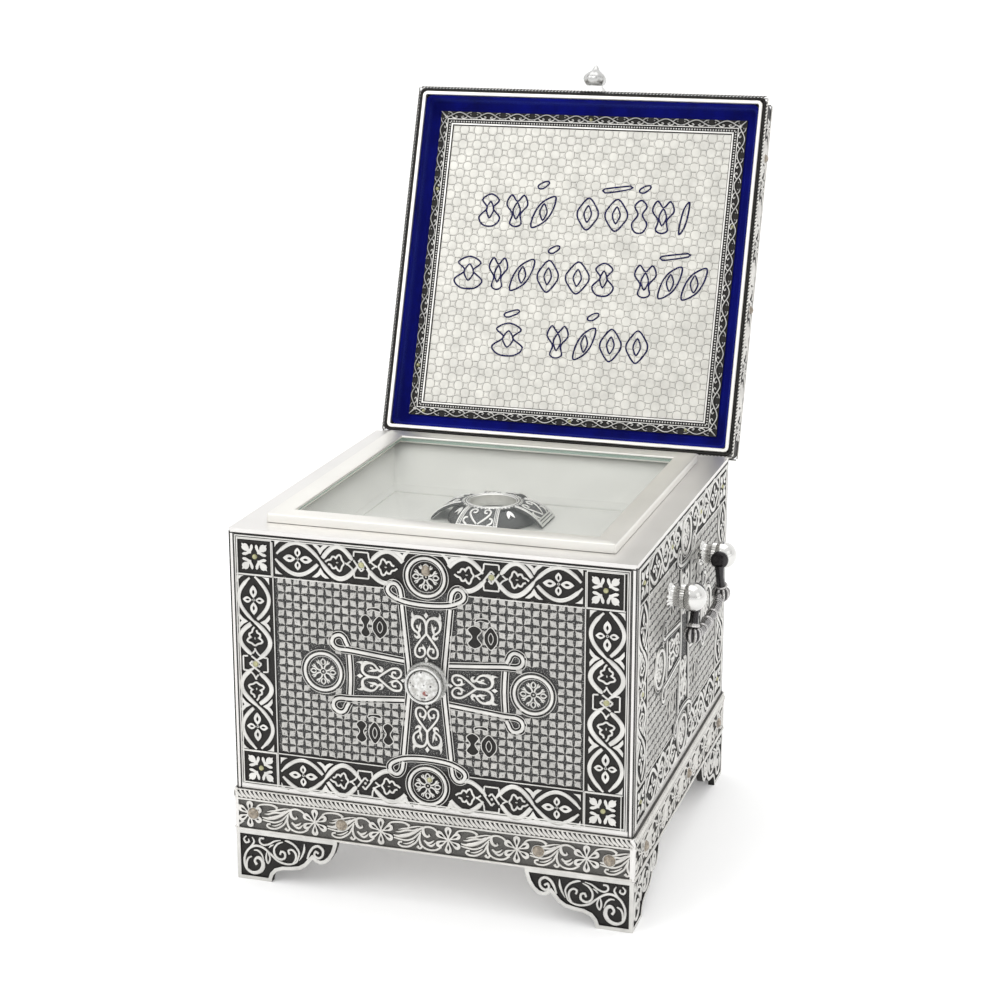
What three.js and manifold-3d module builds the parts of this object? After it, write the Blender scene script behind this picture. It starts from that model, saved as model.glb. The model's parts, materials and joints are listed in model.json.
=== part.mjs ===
// Reliquary casket: a square silver-clad case on bracket feet, with a hinged, velvet-lined lid
// that stands open, a glazed frame on its deck, relief panels and a hanging bail on each side.
// Millimetres, +Z up, the front faces -Y. The lid and everything on it are drawn shut and then
// turned open about the hinge pins.

import * as THREE from "three";
import { mergeVertices } from "three/addons/utils/BufferGeometryUtils.js";
import Module from "manifold-3d";

const wasm = await Module();
wasm.setup();

// ---------------------------------------------------------------- driving dimensions

const WIDTH = 280; // side of the square case
const HALF = WIDTH / 2;
const FOOT_HEIGHT = 37;
const BAND_HEIGHT = 31;
const BODY_HEIGHT = 186; // from the band's rope to the deck
const CASE_BOTTOM = FOOT_HEIGHT;
const BAND_TOP = FOOT_HEIGHT + BAND_HEIGHT;
const DECK = BAND_TOP + BODY_HEIGHT; // height of the deck above the floor
const GAP = 0.3; // clearance between neighbouring pieces

// case
const WALL = 12;
const DECK_THICKNESS = 4;
const FLOOR_THICKNESS = 8;
const DECK_OPENING = 116.5; // half-width of the opening in the deck
const EDGE_STRIP = 3.6; // polished strip left round each panel
const PANEL_RECESS = 3;
const BAND_RECESS = 2.6;

// relief panels, in their own plane: u to the right, v up, w outwards
const PANEL_HALF_U = HALF - EDGE_STRIP - GAP;
const PANEL_HALF_V = (BODY_HEIGHT - 2 * EDGE_STRIP) / 2 - GAP;
const PANEL_CENTRE = BAND_TOP + BODY_HEIGHT / 2;
const PLATE = 0.9; // thickness of the sheet under the relief
const RELIEF = 1.2; // how far the ornament stands off the sheet
const CARVED = PLATE + RELIEF; // height of the carved faces over the panel's back
const SINK = 0.3; // how deep an ornament is rooted in its sheet
const BORDER = 26.5; // width of the border with the corner squares
const BORDER_MID = BORDER / 2;
const MEDALLION_RADIUS = 15.5;
const MEDALLION_RIM = 4;
const MEDALLION_REACH = 73; // from the cross centre to a medallion centre
const LENS_HALF = 16; // half-length of the long pointed ovals
const LENS_U = 89.4; // their places along the top and bottom borders
const LENS_V = 45.4; // and along the side borders
const IVY_HALF = 12.6; // half-length of the short pointed ovals
const IVY_U = [28.5, 61];
const IVY_V = 17;
const STRAP = 4.4; // width of the cross's strap
const ARM_ROOT = 12; // strap centre line from the axis, at the centre of the cross
const ARM_END = 16.5; // and at the end of an arm
const ARM_REACH = 55; // where the crossbars close the arms
const LOOP_RADIUS = 7.6; // loops at the ends of the crossbars
const LOOP_EYE = 3.2; // hole in a loop

// band round the foot of the case
const BAND_OUTER = HALF + 1;
const BAND_SHEET = 3.2;
const BAND_CORNER = 3;
const ROPE_RADIUS = 2.3;
const FLOWER_STEP = 47;
const FLOWER_RADIUS = 8;
const FLOWER_PETALS = 6;
const STUD_RADIUS = 4;
const STUD_PLACES = [-127, -62.5, 77, 126];
const SHOWN_SIDES = [0, 1]; // the front and the right carry the flowers and studs

// feet
const WING_LENGTH = 73.5;
const TOE = 24;
const FOOT_SHEET = 5;
const FOOT_RIM = 2.4;
const FOOT_GROUND = 1.2; // how far the carved ground lies behind the rim

// handle posts and bails
const POST_OFFSET = 50;
const POST_HEIGHT = DECK - 48;
const PIVOT_OUT = 16.5; // from the panel sheet to the bail's pivot line
const DOME_RADIUS = 9.6;
const PIN_RADIUS = 2;
const PIN_CLEARANCE = 0.35;
const EYE_OFFSET = 37.5;
const EYE_RADIUS = 6.3;
const GRIP_OFFSET = 46;
const GRIP_DROP = 27;
const BOW_DROP = 35;
const BOW_RADIUS = 3;

// deck fittings
const FRAME_HALF = 121;
const FRAME_HEIGHT = 6.3;
const FRAME_OPENING = 106;
const FRAME_CORNER = 4;
const GLASS_HALF = 109;
const GLASS_THICKNESS = 3;
const TRAY_SHEET = 1.6;
const TRAY_WALL_DEPTH = 10;
const TRAY_FLOOR_DEPTH = 21;
const TRAY_FLOOR_U = 90;
const TRAY_FLOOR_V = 45;

// relic cover
const COVER_REACH = 41;
const COVER_RISE = 12.5;
const COVER_SHEET = 1.6;
const COVER_FLAT = 21; // half-width of the flat crown that carries the eye
const COVER_WAIST = 12.2; // half-width of an arm, carried back to the centre
const COVER_FLARE = 0.32; // growth of that half-width along the arm
const COVER_COLLAR = 0.8; // how far the eye's collar stands up
const EYE_OUTER = 20;
const EYE_INNER = 15;

// lid, drawn shut
const LID_OPEN = 110.6; // degrees between shut and standing open
const LID_HEIGHT = 26;
const LID_GAP = 0.6;
const LID_WALL = 2.4;
const RIM_OUTER = HALF - LID_WALL - 0.8;
const RIM_WIDTH = 2.8;
const VELVET_DEPTH = 15; // from the lid's mouth to the velvet
const SCROLL_HALF = 124;
const SCROLL_WIDTH = 11;
const SCROLL_HEIGHT = 2.6;
const LID_PLATE_HALF = 112.5;

// hinges
const PIVOT_Y = HALF + 5;
const PIVOT_Z = DECK - 5.5;
const KNUCKLE_RADIUS = 4.2;
const HINGE_CENTRE = 73.5;
const KNUCKLE_MIDDLE = 23;
const KNUCKLE_OUTER = 16;
const LEAF = 1.2;
const LEAF_HEIGHT = 12;

// ---------------------------------------------------------------- materials

const silver = metal(0xe4e1da, 0.18);
const oxidisedSilver = metal(0x8b8880, 0.42);
const blackened = metal(0x2c2b2c, 0.5);
const lining = cloth(0xdcdcd4);
const velvet = cloth(0x0a1479);
const glass = clear(0xd8e6de, 0.35);
const crystalGlass = clear(0xf0f0ee, 0.8);

function metal(color, roughness) {
  return new THREE.MeshStandardMaterial({ color, roughness, metalness: 1 });
}

function cloth(color) {
  return new THREE.MeshStandardMaterial({ color, roughness: 0.95, metalness: 0 });
}

function clear(color, opacity) {
  return new THREE.MeshStandardMaterial({ color, roughness: 0.05, opacity, transparent: true });
}

// ---------------------------------------------------------------- solids

// A closed three.js geometry as a manifold solid.
function solid(geometry) {
  const bare = geometry.clone();
  bare.deleteAttribute("normal");
  bare.deleteAttribute("uv");
  const merged = mergeVertices(bare, 1e-4);
  return new wasm.Manifold(
    new wasm.Mesh({
      numProp: 3,
      vertProperties: merged.attributes.position.array,
      triVerts: new Uint32Array(merged.index.array),
    }),
  );
}

function geometryOf(body) {
  const mesh = body.getMesh();
  const geometry = new THREE.BufferGeometry();
  geometry.setAttribute("position", new THREE.BufferAttribute(mesh.vertProperties, 3));
  geometry.setIndex(new THREE.BufferAttribute(mesh.triVerts, 1));
  geometry.computeVertexNormals();
  return geometry;
}

function join(parts) {
  return parts.reduce((whole, part) => whole.add(part));
}

function moved(body, matrix) {
  return solid(geometryOf(body).applyMatrix4(matrix));
}

function shifted(body, x, y, z) {
  return moved(body, new THREE.Matrix4().makeTranslation(x, y, z));
}

function turnedX(body, degrees) {
  return moved(body, new THREE.Matrix4().makeRotationX(THREE.MathUtils.degToRad(degrees)));
}

function turnedY(body, degrees) {
  return moved(body, new THREE.Matrix4().makeRotationY(THREE.MathUtils.degToRad(degrees)));
}

function turnedZ(body, degrees) {
  return moved(body, new THREE.Matrix4().makeRotationZ(THREE.MathUtils.degToRad(degrees)));
}

// A box between two corners.
function box(low, high) {
  const size = high.map((value, i) => value - low[i]);
  const middle = high.map((value, i) => (value + low[i]) / 2);
  return solid(new THREE.BoxGeometry(...size).translate(...middle));
}

// An outline of [u, v] points as a prism from height `low` to `high`.
function prism(points, low, high) {
  const shape = new THREE.Shape(points.map(([u, v]) => new THREE.Vector2(u, v)));
  return prismOf(shape, low, high);
}

function prismOf(shape, low, high, curveSegments = 6) {
  const options = { depth: high - low, bevelEnabled: false, curveSegments };
  return solid(new THREE.ExtrudeGeometry(shape, options).translate(0, 0, low));
}

function square(half) {
  return [
    [-half, -half],
    [half, -half],
    [half, half],
    [-half, half],
  ];
}

// A square with corners rounded by arcs of a few segments.
function roundedSquare(half, radius, segments = 1) {
  const points = [];
  for (let corner = 0; corner < 4; corner += 1) {
    const start = (corner * Math.PI) / 2;
    const [x, y] = turned(half - radius, half - radius, start);
    for (let i = 0; i <= segments; i += 1) {
      const angle = start + (i / segments) * (Math.PI / 2);
      points.push([x + radius * Math.cos(angle), y + radius * Math.sin(angle)]);
    }
  }
  return points;
}

function turned(u, v, angle) {
  const c = Math.cos(angle);
  const s = Math.sin(angle);
  return [u * c - v * s, u * s + v * c];
}

// A regular outline whose radius follows `radiusAt(angle)`.
function rosette(count, radiusAt, centre = [0, 0]) {
  return Array.from({ length: count }, (_, i) => {
    const angle = (i / count) * 2 * Math.PI;
    const radius = radiusAt(angle);
    return [centre[0] + radius * Math.cos(angle), centre[1] + radius * Math.sin(angle)];
  });
}

function disc(radius, count, centre) {
  return rosette(count, () => radius, centre);
}

function ring(outer, inner, low, high) {
  return prism(outer, low, high).subtract(prism(inner, low - 1, high + 1));
}

// A [radius, height] profile turned about the Z axis.
function turnedBody(profile, segments) {
  const points = profile.map(([r, z]) => new THREE.Vector2(r, z));
  return solid(new THREE.LatheGeometry(points, segments).rotateX(Math.PI / 2));
}

// A closed outline swept along a curve.
function swept(outline, curve, steps) {
  const shape = new THREE.Shape(outline.map(([u, v]) => new THREE.Vector2(u, v)));
  return solid(new THREE.ExtrudeGeometry(shape, { steps, extrudePath: curve }));
}

// ---------------------------------------------------------------- case, tray and glazing

function makeCase() {
  const low = CASE_BOTTOM + GAP;
  let body = box([-HALF, -HALF, low], [HALF, HALF, DECK]);
  const inner = HALF - WALL;
  body = body.subtract(
    box([-inner, -inner, low + FLOOR_THICKNESS], [inner, inner, DECK - DECK_THICKNESS]),
  );
  body = body.subtract(prism(square(DECK_OPENING), DECK - DECK_THICKNESS - 1, DECK + 1));
  for (let side = 0; side < 4; side += 1) {
    const reach = HALF - EDGE_STRIP;
    const recess = box(
      [-reach, -HALF - 1, BAND_TOP + EDGE_STRIP],
      [reach, -HALF + PANEL_RECESS, DECK - EDGE_STRIP],
    );
    body = body.subtract(turnedZ(recess, side * 90));
  }
  const bandSeat = HALF - BAND_RECESS;
  const waist = prism(square(HALF + 2), low - 1, BAND_TOP).subtract(
    prism(square(bandSeat), low - 2, BAND_TOP + 1),
  );
  return body.subtract(waist);
}

// The tray hangs by its wall in the deck opening and slopes in to a flat floor.
function makeTray() {
  const wall = DECK_OPENING - GAP;
  const top = DECK;
  const outside = trayHull(wall, top, 0);
  const inside = trayHull(wall - TRAY_SHEET, top + 1, TRAY_SHEET);
  return outside.subtract(inside);
}

// Upright walls over four sloping sides; `lift` raises the floor and the foot of the walls.
function trayHull(wall, top, lift) {
  const waist = DECK - TRAY_WALL_DEPTH + lift * 0.4;
  const floor = DECK - TRAY_FLOOR_DEPTH - TRAY_SHEET + lift;
  const upper = box([-wall, -wall, waist], [wall, wall, top]);
  const low = [
    [-TRAY_FLOOR_U, -TRAY_FLOOR_V],
    [TRAY_FLOOR_U, -TRAY_FLOOR_V],
    [TRAY_FLOOR_U, TRAY_FLOOR_V],
    [-TRAY_FLOOR_U, TRAY_FLOOR_V],
  ];
  return upper.add(frustum(low, floor, square(wall), waist));
}

// A solid between two outlines with the same number of points.
function frustum(lower, lowZ, upper, highZ) {
  const count = lower.length;
  const vertices = [];
  for (const [u, v] of lower) vertices.push(u, v, lowZ);
  for (const [u, v] of upper) vertices.push(u, v, highZ);
  const faces = [];
  for (let i = 0; i < count; i += 1) {
    const next = (i + 1) % count;
    faces.push(i, next, count + next);
    faces.push(i, count + next, count + i);
  }
  for (let i = 1; i < count - 1; i += 1) {
    faces.push(0, i + 1, i);
    faces.push(count, count + i, count + i + 1);
  }
  const geometry = new THREE.BufferGeometry();
  geometry.setAttribute("position", new THREE.Float32BufferAttribute(vertices, 3));
  geometry.setIndex(faces);
  return solid(geometry);
}

function makeGlazedFrame() {
  const low = DECK + GAP;
  const high = DECK + FRAME_HEIGHT;
  const outline = roundedSquare(FRAME_HALF, FRAME_CORNER, 2);
  const body = ring(outline, square(FRAME_OPENING), low, high);
  const rebate = low + GLASS_THICKNESS + 1 + GAP;
  return body.subtract(prism(square(GLASS_HALF + GAP), low - 1, rebate));
}

function makeGlass() {
  const low = DECK + GAP + 1;
  return prism(square(GLASS_HALF), low, low + GLASS_THICKNESS);
}

// ---------------------------------------------------------------- relic cover

// A hollow cross of four flaring arms that slope to the tray, with a round eye at the crown.
function makeRelicCover() {
  const outer = coverShell(COVER_RISE, COVER_REACH, COVER_WAIST);
  const inner = coverShell(
    COVER_RISE - COVER_SHEET,
    COVER_REACH - 2 * COVER_SHEET,
    COVER_WAIST - COVER_SHEET,
  );
  const crown = COVER_RISE + COVER_COLLAR;
  const collar = prism(disc(EYE_OUTER, 10), COVER_RISE / 2, crown);
  const eye = prism(disc(EYE_INNER, 10), -1, crown + 1);
  const base = DECK - TRAY_FLOOR_DEPTH + GAP;
  return shifted(outer.subtract(inner).add(collar).subtract(eye), 0, 0, base);
}

// Four sloping arms round a flat crown, filled in: each widens from `waist` at the centre.
function coverShell(rise, reach, waist) {
  const slope = [
    [0, 0],
    [reach, 0],
    [reach, rise * 0.12],
    [(reach + COVER_FLAT) / 2, rise * 0.7],
    [COVER_FLAT, rise],
    [0, rise],
  ];
  const flare = waist + reach * COVER_FLARE;
  const wing = [
    [0, -waist],
    [reach, -flare],
    [reach, flare],
    [0, waist],
  ];
  const limb = turnedX(prism(slope, -flare - 1, flare + 1), 90);
  const arm = limb.intersect(prism(wing, -1, rise + 1));
  return join([0, 90, 180, 270].map((angle) => turnedZ(arm, angle)));
}

// ---------------------------------------------------------------- relief panels

// A pointed oval along u, or along v where it is upright; its two arcs meet at +-half.
function pointedOval(centre, half, rise, upright) {
  const steps = 3;
  const points = [];
  for (let i = 0; i < 2 * steps; i += 1) {
    const angle = (i / steps) * Math.PI;
    const u = half * Math.cos(angle);
    const v = rise * Math.sin(angle);
    points.push(upright ? [centre[0] - v, centre[1] + u] : [centre[0] + u, centre[1] + v]);
  }
  return points;
}

function oval(centre, half, upright) {
  return prism(pointedOval(centre, half, BORDER_MID - 2, upright), PLATE - SINK, CARVED);
}

// A star with four long points on the diagonals.
function cornerStar(centre) {
  const radius = BORDER_MID - 3.6;
  const star = rosette(8, (angle) => radius * (0.35 + 0.65 * Math.abs(Math.sin(2 * angle))), centre);
  return prism(star, PLATE - SINK, CARVED);
}

function cornerStars() {
  const u = PANEL_HALF_U - BORDER_MID;
  const v = PANEL_HALF_V - BORDER_MID;
  return [[-u, -v], [u, -v], [u, v], [-u, v]].map(cornerStar);
}

function frameLine(halfU, halfV, width) {
  const outer = [
    [-halfU, -halfV],
    [halfU, -halfV],
    [halfU, halfV],
    [-halfU, halfV],
  ];
  const inner = outer.map(([u, v]) => [u - Math.sign(u) * width, v - Math.sign(v) * width]);
  return ring(outer, inner, PLATE - SINK, CARVED);
}

function medallion(centre) {
  const rim = disc(MEDALLION_RADIUS, 8, centre);
  const well = disc(MEDALLION_RADIUS - MEDALLION_RIM, 6, centre);
  return ring(rim, well, PLATE - SINK, CARVED);
}

// One arm of the cross, drawn along +v: two flaring straps round a well, the crossbar that
// curves past the medallion, and the loops at its ends unless it is `plain`.
function crossArm(angle, plain) {
  const half = STRAP / 2;
  const arm = taper(0, ARM_ROOT + half, ARM_REACH, ARM_END + half);
  const well = taper(ARM_ROOT + STRAP, ARM_ROOT - half, ARM_REACH - STRAP - 2, ARM_END - half);
  const reach = ARM_END + LOOP_RADIUS - 1;
  const dip = ARM_REACH - 7;
  const crossbar = [
    [-reach, ARM_REACH - 2],
    [0, dip],
    [reach, ARM_REACH - 2],
    [reach, ARM_REACH + half],
    [-reach, ARM_REACH + half],
  ];
  const parts = [prism(arm, PLATE - SINK, CARVED).add(prism(crossbar, PLATE - SINK, CARVED))];
  for (const side of plain ? [] : [-1, 1]) {
    const loop = [side * reach, ARM_REACH + 4];
    parts.push(ring(disc(LOOP_RADIUS, 6, loop), disc(LOOP_EYE, 3, loop), PLATE - SINK, CARVED));
  }
  const drawn = join(parts).subtract(prism(well, PLATE, CARVED + 1));
  return turnedZ(drawn, angle);
}

// A trapezium along +v with its half-width at each end.
function taper(lowV, lowHalf, highV, highHalf) {
  return [
    [-lowHalf, lowV],
    [lowHalf, lowV],
    [highHalf, highV],
    [-highHalf, highV],
  ];
}

function borderOvals() {
  const v = PANEL_HALF_V - BORDER_MID;
  const u = PANEL_HALF_U - BORDER_MID;
  const ovals = [];
  for (const across of [-1, 1]) {
    for (const along of [-1, 1]) {
      ovals.push(oval([along * LENS_U, across * v], LENS_HALF));
      ovals.push(...IVY_U.map((place) => oval([along * place, across * v], IVY_HALF)));
      ovals.push(oval([across * u, along * LENS_V], LENS_HALF, true));
      ovals.push(oval([across * u, along * IVY_V], IVY_HALF, true));
    }
  }
  return ovals;
}

// A whole panel; `plain` leaves out the stars, ovals and loops, as on the back and the left.
function makePanel(plain) {
  const parts = [
    prism(
      [
        [-PANEL_HALF_U, -PANEL_HALF_V],
        [PANEL_HALF_U, -PANEL_HALF_V],
        [PANEL_HALF_U, PANEL_HALF_V],
        [-PANEL_HALF_U, PANEL_HALF_V],
      ],
      0,
      PLATE,
    ),
    frameLine(PANEL_HALF_U, PANEL_HALF_V, 2),
    frameLine(PANEL_HALF_U - BORDER, PANEL_HALF_V - BORDER, 1.4),
  ];
  if (!plain) parts.push(...cornerStars(), ...borderOvals());
  for (let arm = 0; arm < 4; arm += 1) {
    parts.push(crossArm(arm * 90, plain));
    parts.push(medallion(turned(0, MEDALLION_REACH, (arm * Math.PI) / 2)));
  }
  return join(parts);
}

// ---------------------------------------------------------------- crystal

function makeBezel() {
  const profile = [
    [0, 0],
    [14.6, 0],
    [13, 3.4],
    [13, 8.6],
    [10.8, 8.6],
    [10.8, 3.4],
    [0, 3.4],
  ];
  return turnedBody(profile, 12);
}

function makeCrystal() {
  const profile = [
    [0, 3.8],
    [10.3, 3.8],
    [10.3, 8.4],
    [7.5, 10.8],
    [0, 11.8],
  ];
  return turnedBody(profile, 12);
}

// ---------------------------------------------------------------- band and feet

function makeBand() {
  const low = CASE_BOTTOM + GAP;
  const high = BAND_TOP - GAP;
  const inner = BAND_OUTER - BAND_SHEET;
  let band = prism(roundedSquare(BAND_OUTER, BAND_CORNER), low, high);
  const ropeTop = high - 0.4;
  const ropeBottom = high - 2 * ROPE_RADIUS - 0.8;
  const rope = roundedSquare(BAND_OUTER + 1.1, BAND_CORNER + 1);
  band = band.add(prism(rope, ropeBottom, ropeTop));
  band = band.add(prism(roundedSquare(BAND_OUTER + 0.7, BAND_CORNER + 0.6), low, low + 1.6));
  const middle = (low + ropeBottom) / 2;
  for (const side of SHOWN_SIDES) {
    const carved = [];
    for (let i = 0; i < 6; i += 1) {
      const at = [(i - 2.5) * FLOWER_STEP, middle];
      const petals = (angle) => FLOWER_RADIUS * (0.7 + 0.3 * Math.cos(FLOWER_PETALS * angle));
      carved.push(prism(rosette(2 * FLOWER_PETALS, petals, at), -1, 0.8));
    }
    for (const u of STUD_PLACES) {
      carved.push(prism(disc(STUD_RADIUS, 6, [u, middle]), -1, 2));
    }
    const row = shifted(turnedX(join(carved), 90), 0, -BAND_OUTER, 0);
    band = band.add(turnedZ(row, side * 90));
  }
  return band.subtract(prism(square(inner), low - 1, high + 1));
}

// The outline of one wing, corner at the origin, running along +u and hanging down; `inset`
// draws it smaller by that much all round.
function wingOutline(inset) {
  const shape = new THREE.Shape();
  const low = -FOOT_HEIGHT + inset;
  const toe = TOE - inset;
  shape.moveTo(inset, -inset);
  shape.lineTo(inset, low);
  shape.lineTo(toe, low);
  shape.lineTo(toe + 1.5, -31 + inset);
  shape.bezierCurveTo(toe + 16, -29 + inset, toe + 22, -25 + inset, 55 - inset, -17.5 + inset);
  shape.bezierCurveTo(57, -20.5 + inset, 67, -21 + inset, 69 - inset, -14);
  shape.lineTo(WING_LENGTH - inset, -inset);
  return shape;
}

// A spiral scroll of the carved ground, wound in towards its centre.
function scroll(centre, radius, sense, start) {
  const steps = 5;
  const outer = [];
  const inner = [];
  for (let i = 0; i <= steps; i += 1) {
    const t = i / steps;
    const angle = start + sense * 2 * Math.PI * t;
    const reach = radius * (1 - 0.7 * t);
    outer.push(rosettePoint(centre, reach + 0.8, angle));
    inner.unshift(rosettePoint(centre, reach - 0.8, angle));
  }
  return sense > 0 ? outer.concat(inner) : outer.concat(inner).reverse();
}

function rosettePoint(centre, radius, angle) {
  return [centre[0] + radius * Math.cos(angle), centre[1] + radius * Math.sin(angle)];
}

function makeWing() {
  const body = prismOf(wingOutline(0), -FOOT_SHEET, 0, 3);
  const ground = body.subtract(prismOf(wingOutline(FOOT_RIM), -FOOT_GROUND, 1, 2));
  const spiral = scroll([14, -20], 9, -1, Math.PI * 0.5);
  return ground.add(prism(spiral, -FOOT_GROUND - SINK, -0.2));
}

// Two wings at a right angle; the corner stands at the front left. The side wing is the
// front wing mirrored in the diagonal plane through the corner.
function makeFoot() {
  const front = turnedX(makeWing(), 90);
  const swap = new THREE.Matrix4().set(0, 1, 0, 0, 1, 0, 0, 0, 0, 0, 1, 0, 0, 0, 0, 1);
  const flank = geometryOf(front).applyMatrix4(swap);
  flank.index.array.reverse();
  const reach = BAND_OUTER + 0.4;
  return shifted(front.add(solid(flank)), -reach, -reach, FOOT_HEIGHT);
}

// ---------------------------------------------------------------- posts and bails

// A post stands out along +X from the panel sheet, with a bored dome for the bail's pin.
function makePost(boreSide) {
  const profile = [
    [0, 0],
    [8.8, 0],
    [6.8, 2.4],
    [6.8, 9],
    [8.3, 9.4],
    [DOME_RADIUS, 12.8],
  ];
  for (let i = 0; i <= 3; i += 1) {
    const angle = (i / 3) * (Math.PI / 2);
    profile.push([DOME_RADIUS * Math.cos(angle), PIVOT_OUT + DOME_RADIUS * Math.sin(angle)]);
  }
  const post = turnedY(turnedBody(profile, 8), 90);
  const bore = turnedBody(
    [
      [0, 1],
      [PIN_RADIUS + PIN_CLEARANCE, 1],
      [PIN_RADIUS + PIN_CLEARANCE, DOME_RADIUS + 2],
      [0, DOME_RADIUS + 2],
    ],
    6,
  );
  return post.subtract(shifted(turnedX(bore, -90 * boreSide), PIVOT_OUT, 0, 0));
}

// One bail, hanging: eyes with pins, necks, ribbed grips and a bowed bar. Pivot line along Y.
function makeBail() {
  const parts = [];
  for (const side of [-1, 1]) {
    const eye = turnedBody(
      [
        [0, 0],
        [EYE_RADIUS, 0],
        [EYE_RADIUS, 4],
        [PIN_RADIUS, 4],
        [PIN_RADIUS, 9.5],
        [0, 9.5],
      ],
      6,
    );
    parts.push(shifted(turnedX(eye, -90 * side), 0, side * (EYE_OFFSET - 2), 0));
    parts.push(bar([0, side * EYE_OFFSET, -2], [0, side * GRIP_OFFSET, 4 - GRIP_DROP], 3, 2.2));
    const grip = turnedBody(
      [
        [0, -6.5],
        [4.6, -3.5],
        [5.4, 1],
        [3, 6],
        [0, 6],
      ],
      6,
    );
    parts.push(shifted(grip, 0, side * GRIP_OFFSET, -GRIP_DROP));
  }
  const bow = new THREE.QuadraticBezierCurve3(
    new THREE.Vector3(0, -GRIP_OFFSET, -GRIP_DROP),
    new THREE.Vector3(0, 0, GRIP_DROP - 2 * BOW_DROP),
    new THREE.Vector3(0, GRIP_OFFSET, -GRIP_DROP),
  );
  parts.push(swept(disc(BOW_RADIUS, 6), bow, 5));
  return join(parts);
}

// A flat-sided bar between two points of the YZ plane.
function bar(from, to, halfX, halfAcross) {
  const run = new THREE.Vector3(...to).sub(new THREE.Vector3(...from));
  const length = run.length();
  const block = new THREE.BoxGeometry(2 * halfX, length, 2 * halfAcross);
  block.translate(0, length / 2, 0);
  block.rotateX(Math.atan2(run.z, run.y));
  block.translate(...from);
  return solid(block);
}

// ---------------------------------------------------------------- lid, drawn shut

function makeLidShell() {
  const low = DECK + LID_GAP;
  const high = low + LID_HEIGHT;
  const body = prism(roundedSquare(HALF, 2.5), low, high);
  const hollow = prism(square(HALF - LID_WALL), low - 1, high - LID_WALL);
  const rope = ring(roundedSquare(HALF + 1.1, 3.2), square(HALF - 1), low + 1, low + 5);
  const cornice = ring(roundedSquare(HALF + 1.1, 3.2), square(HALF - 1), high - 3, high - 0.6);
  return join([body, rope, cornice, lidTopRelief(high)]).subtract(hollow);
}

// Two plain frames and a flaring cross on the lid's outer face.
function lidTopRelief(high) {
  const top = high + 1.2;
  const border = ring(square(HALF - 6), square(HALF - 9), high - 1, top);
  const field = ring(square(HALF - 30), square(HALF - 32), high - 1, top);
  const cross = [];
  for (let arm = 0; arm < 4; arm += 1) {
    cross.push(turnedZ(prism(taper(0, 10, 86, 24), high - 1, top), arm * 90));
  }
  const hub = prism(disc(18, 10), high - 1, top + 0.6);
  return join([border, field, ...cross, hub]);
}

function makeLidRim() {
  const low = DECK + LID_GAP;
  const outline = roundedSquare(RIM_OUTER, 2);
  const mouth = roundedSquare(RIM_OUTER - RIM_WIDTH, 4);
  return ring(outline, mouth, low, low + LID_HEIGHT - LID_WALL - GAP);
}

function makeVelvet() {
  const low = DECK + LID_GAP + VELVET_DEPTH;
  const high = DECK + LID_GAP + LID_HEIGHT - LID_WALL - GAP;
  const outer = RIM_OUTER - RIM_WIDTH - GAP;
  const pad = prism(roundedSquare(outer, 3.7), low, high);
  const skirt = ring(roundedSquare(outer, 3.7), roundedSquare(outer - 1.6, 2.5), low - 11, low + 1);
  return pad.add(skirt);
}

function makeScrollFrame() {
  const high = DECK + LID_GAP + VELVET_DEPTH - GAP;
  const low = high - SCROLL_HEIGHT;
  const body = ring(square(SCROLL_HALF), square(SCROLL_HALF - SCROLL_WIDTH), low, high);
  const bead = ring(square(SCROLL_HALF - 7), square(SCROLL_HALF - 9), low - 0.9, low + 1);
  const edge = ring(square(SCROLL_HALF), square(SCROLL_HALF - 1), low - 0.6, low + 1);
  return join([body, bead, edge]);
}

function makeLidPlate() {
  const high = DECK + LID_GAP + VELVET_DEPTH - GAP;
  return prism(square(LID_PLATE_HALF), high - 1.2, high);
}

// A square block and an onion finial that stand out from the lid's front edge.
function makeKnob() {
  const profile = [
    [0, 0],
    [7, 0],
    [7, 3],
    [3.5, 3.6],
    [3.5, 5.2],
    [7, 8.8],
    [5.4, 12],
    [1.8, 14],
    [0, 16.8],
  ];
  const finial = turnedBody(profile, 8);
  return shifted(turnedX(finial, 90), 0, -HALF - 1.4, DECK + LID_HEIGHT / 2);
}

// ---------------------------------------------------------------- hinges

function knuckle(from, to) {
  const barrel = turnedBody(
    [
      [0, from],
      [KNUCKLE_RADIUS, from],
      [KNUCKLE_RADIUS, to],
      [0, to],
    ],
    8,
  );
  return shifted(turnedY(barrel, 90), 0, PIVOT_Y, PIVOT_Z);
}

function pin(from, to, radius) {
  const rod = turnedBody(
    [
      [0, from],
      [radius, from],
      [radius, to],
      [0, to],
    ],
    6,
  );
  return shifted(turnedY(rod, 90), 0, PIVOT_Y, PIVOT_Z);
}

// The body's leaf lies on the back of the case and carries the outer knuckles and the pin.
function makeBodyLeaf() {
  const inner = KNUCKLE_MIDDLE / 2 + GAP;
  const outer = inner + KNUCKLE_OUTER;
  const parts = [pin(-outer, outer, PIN_RADIUS)];
  for (const [from, to] of [[-outer, -inner], [inner, outer]]) {
    parts.push(knuckle(from, to));
    parts.push(box([from, HALF + GAP, PIVOT_Z - LEAF_HEIGHT], [to, PIVOT_Y, PIVOT_Z]));
  }
  const clear = box([-inner, HALF - 1, PIVOT_Z - 6], [inner, PIVOT_Y + 9, PIVOT_Z + 9]);
  const plate = box(
    [-outer, HALF + GAP, PIVOT_Z - LEAF_HEIGHT],
    [outer, HALF + GAP + LEAF, PIVOT_Z],
  );
  parts.push(plate.subtract(clear));
  return join(parts);
}

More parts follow.
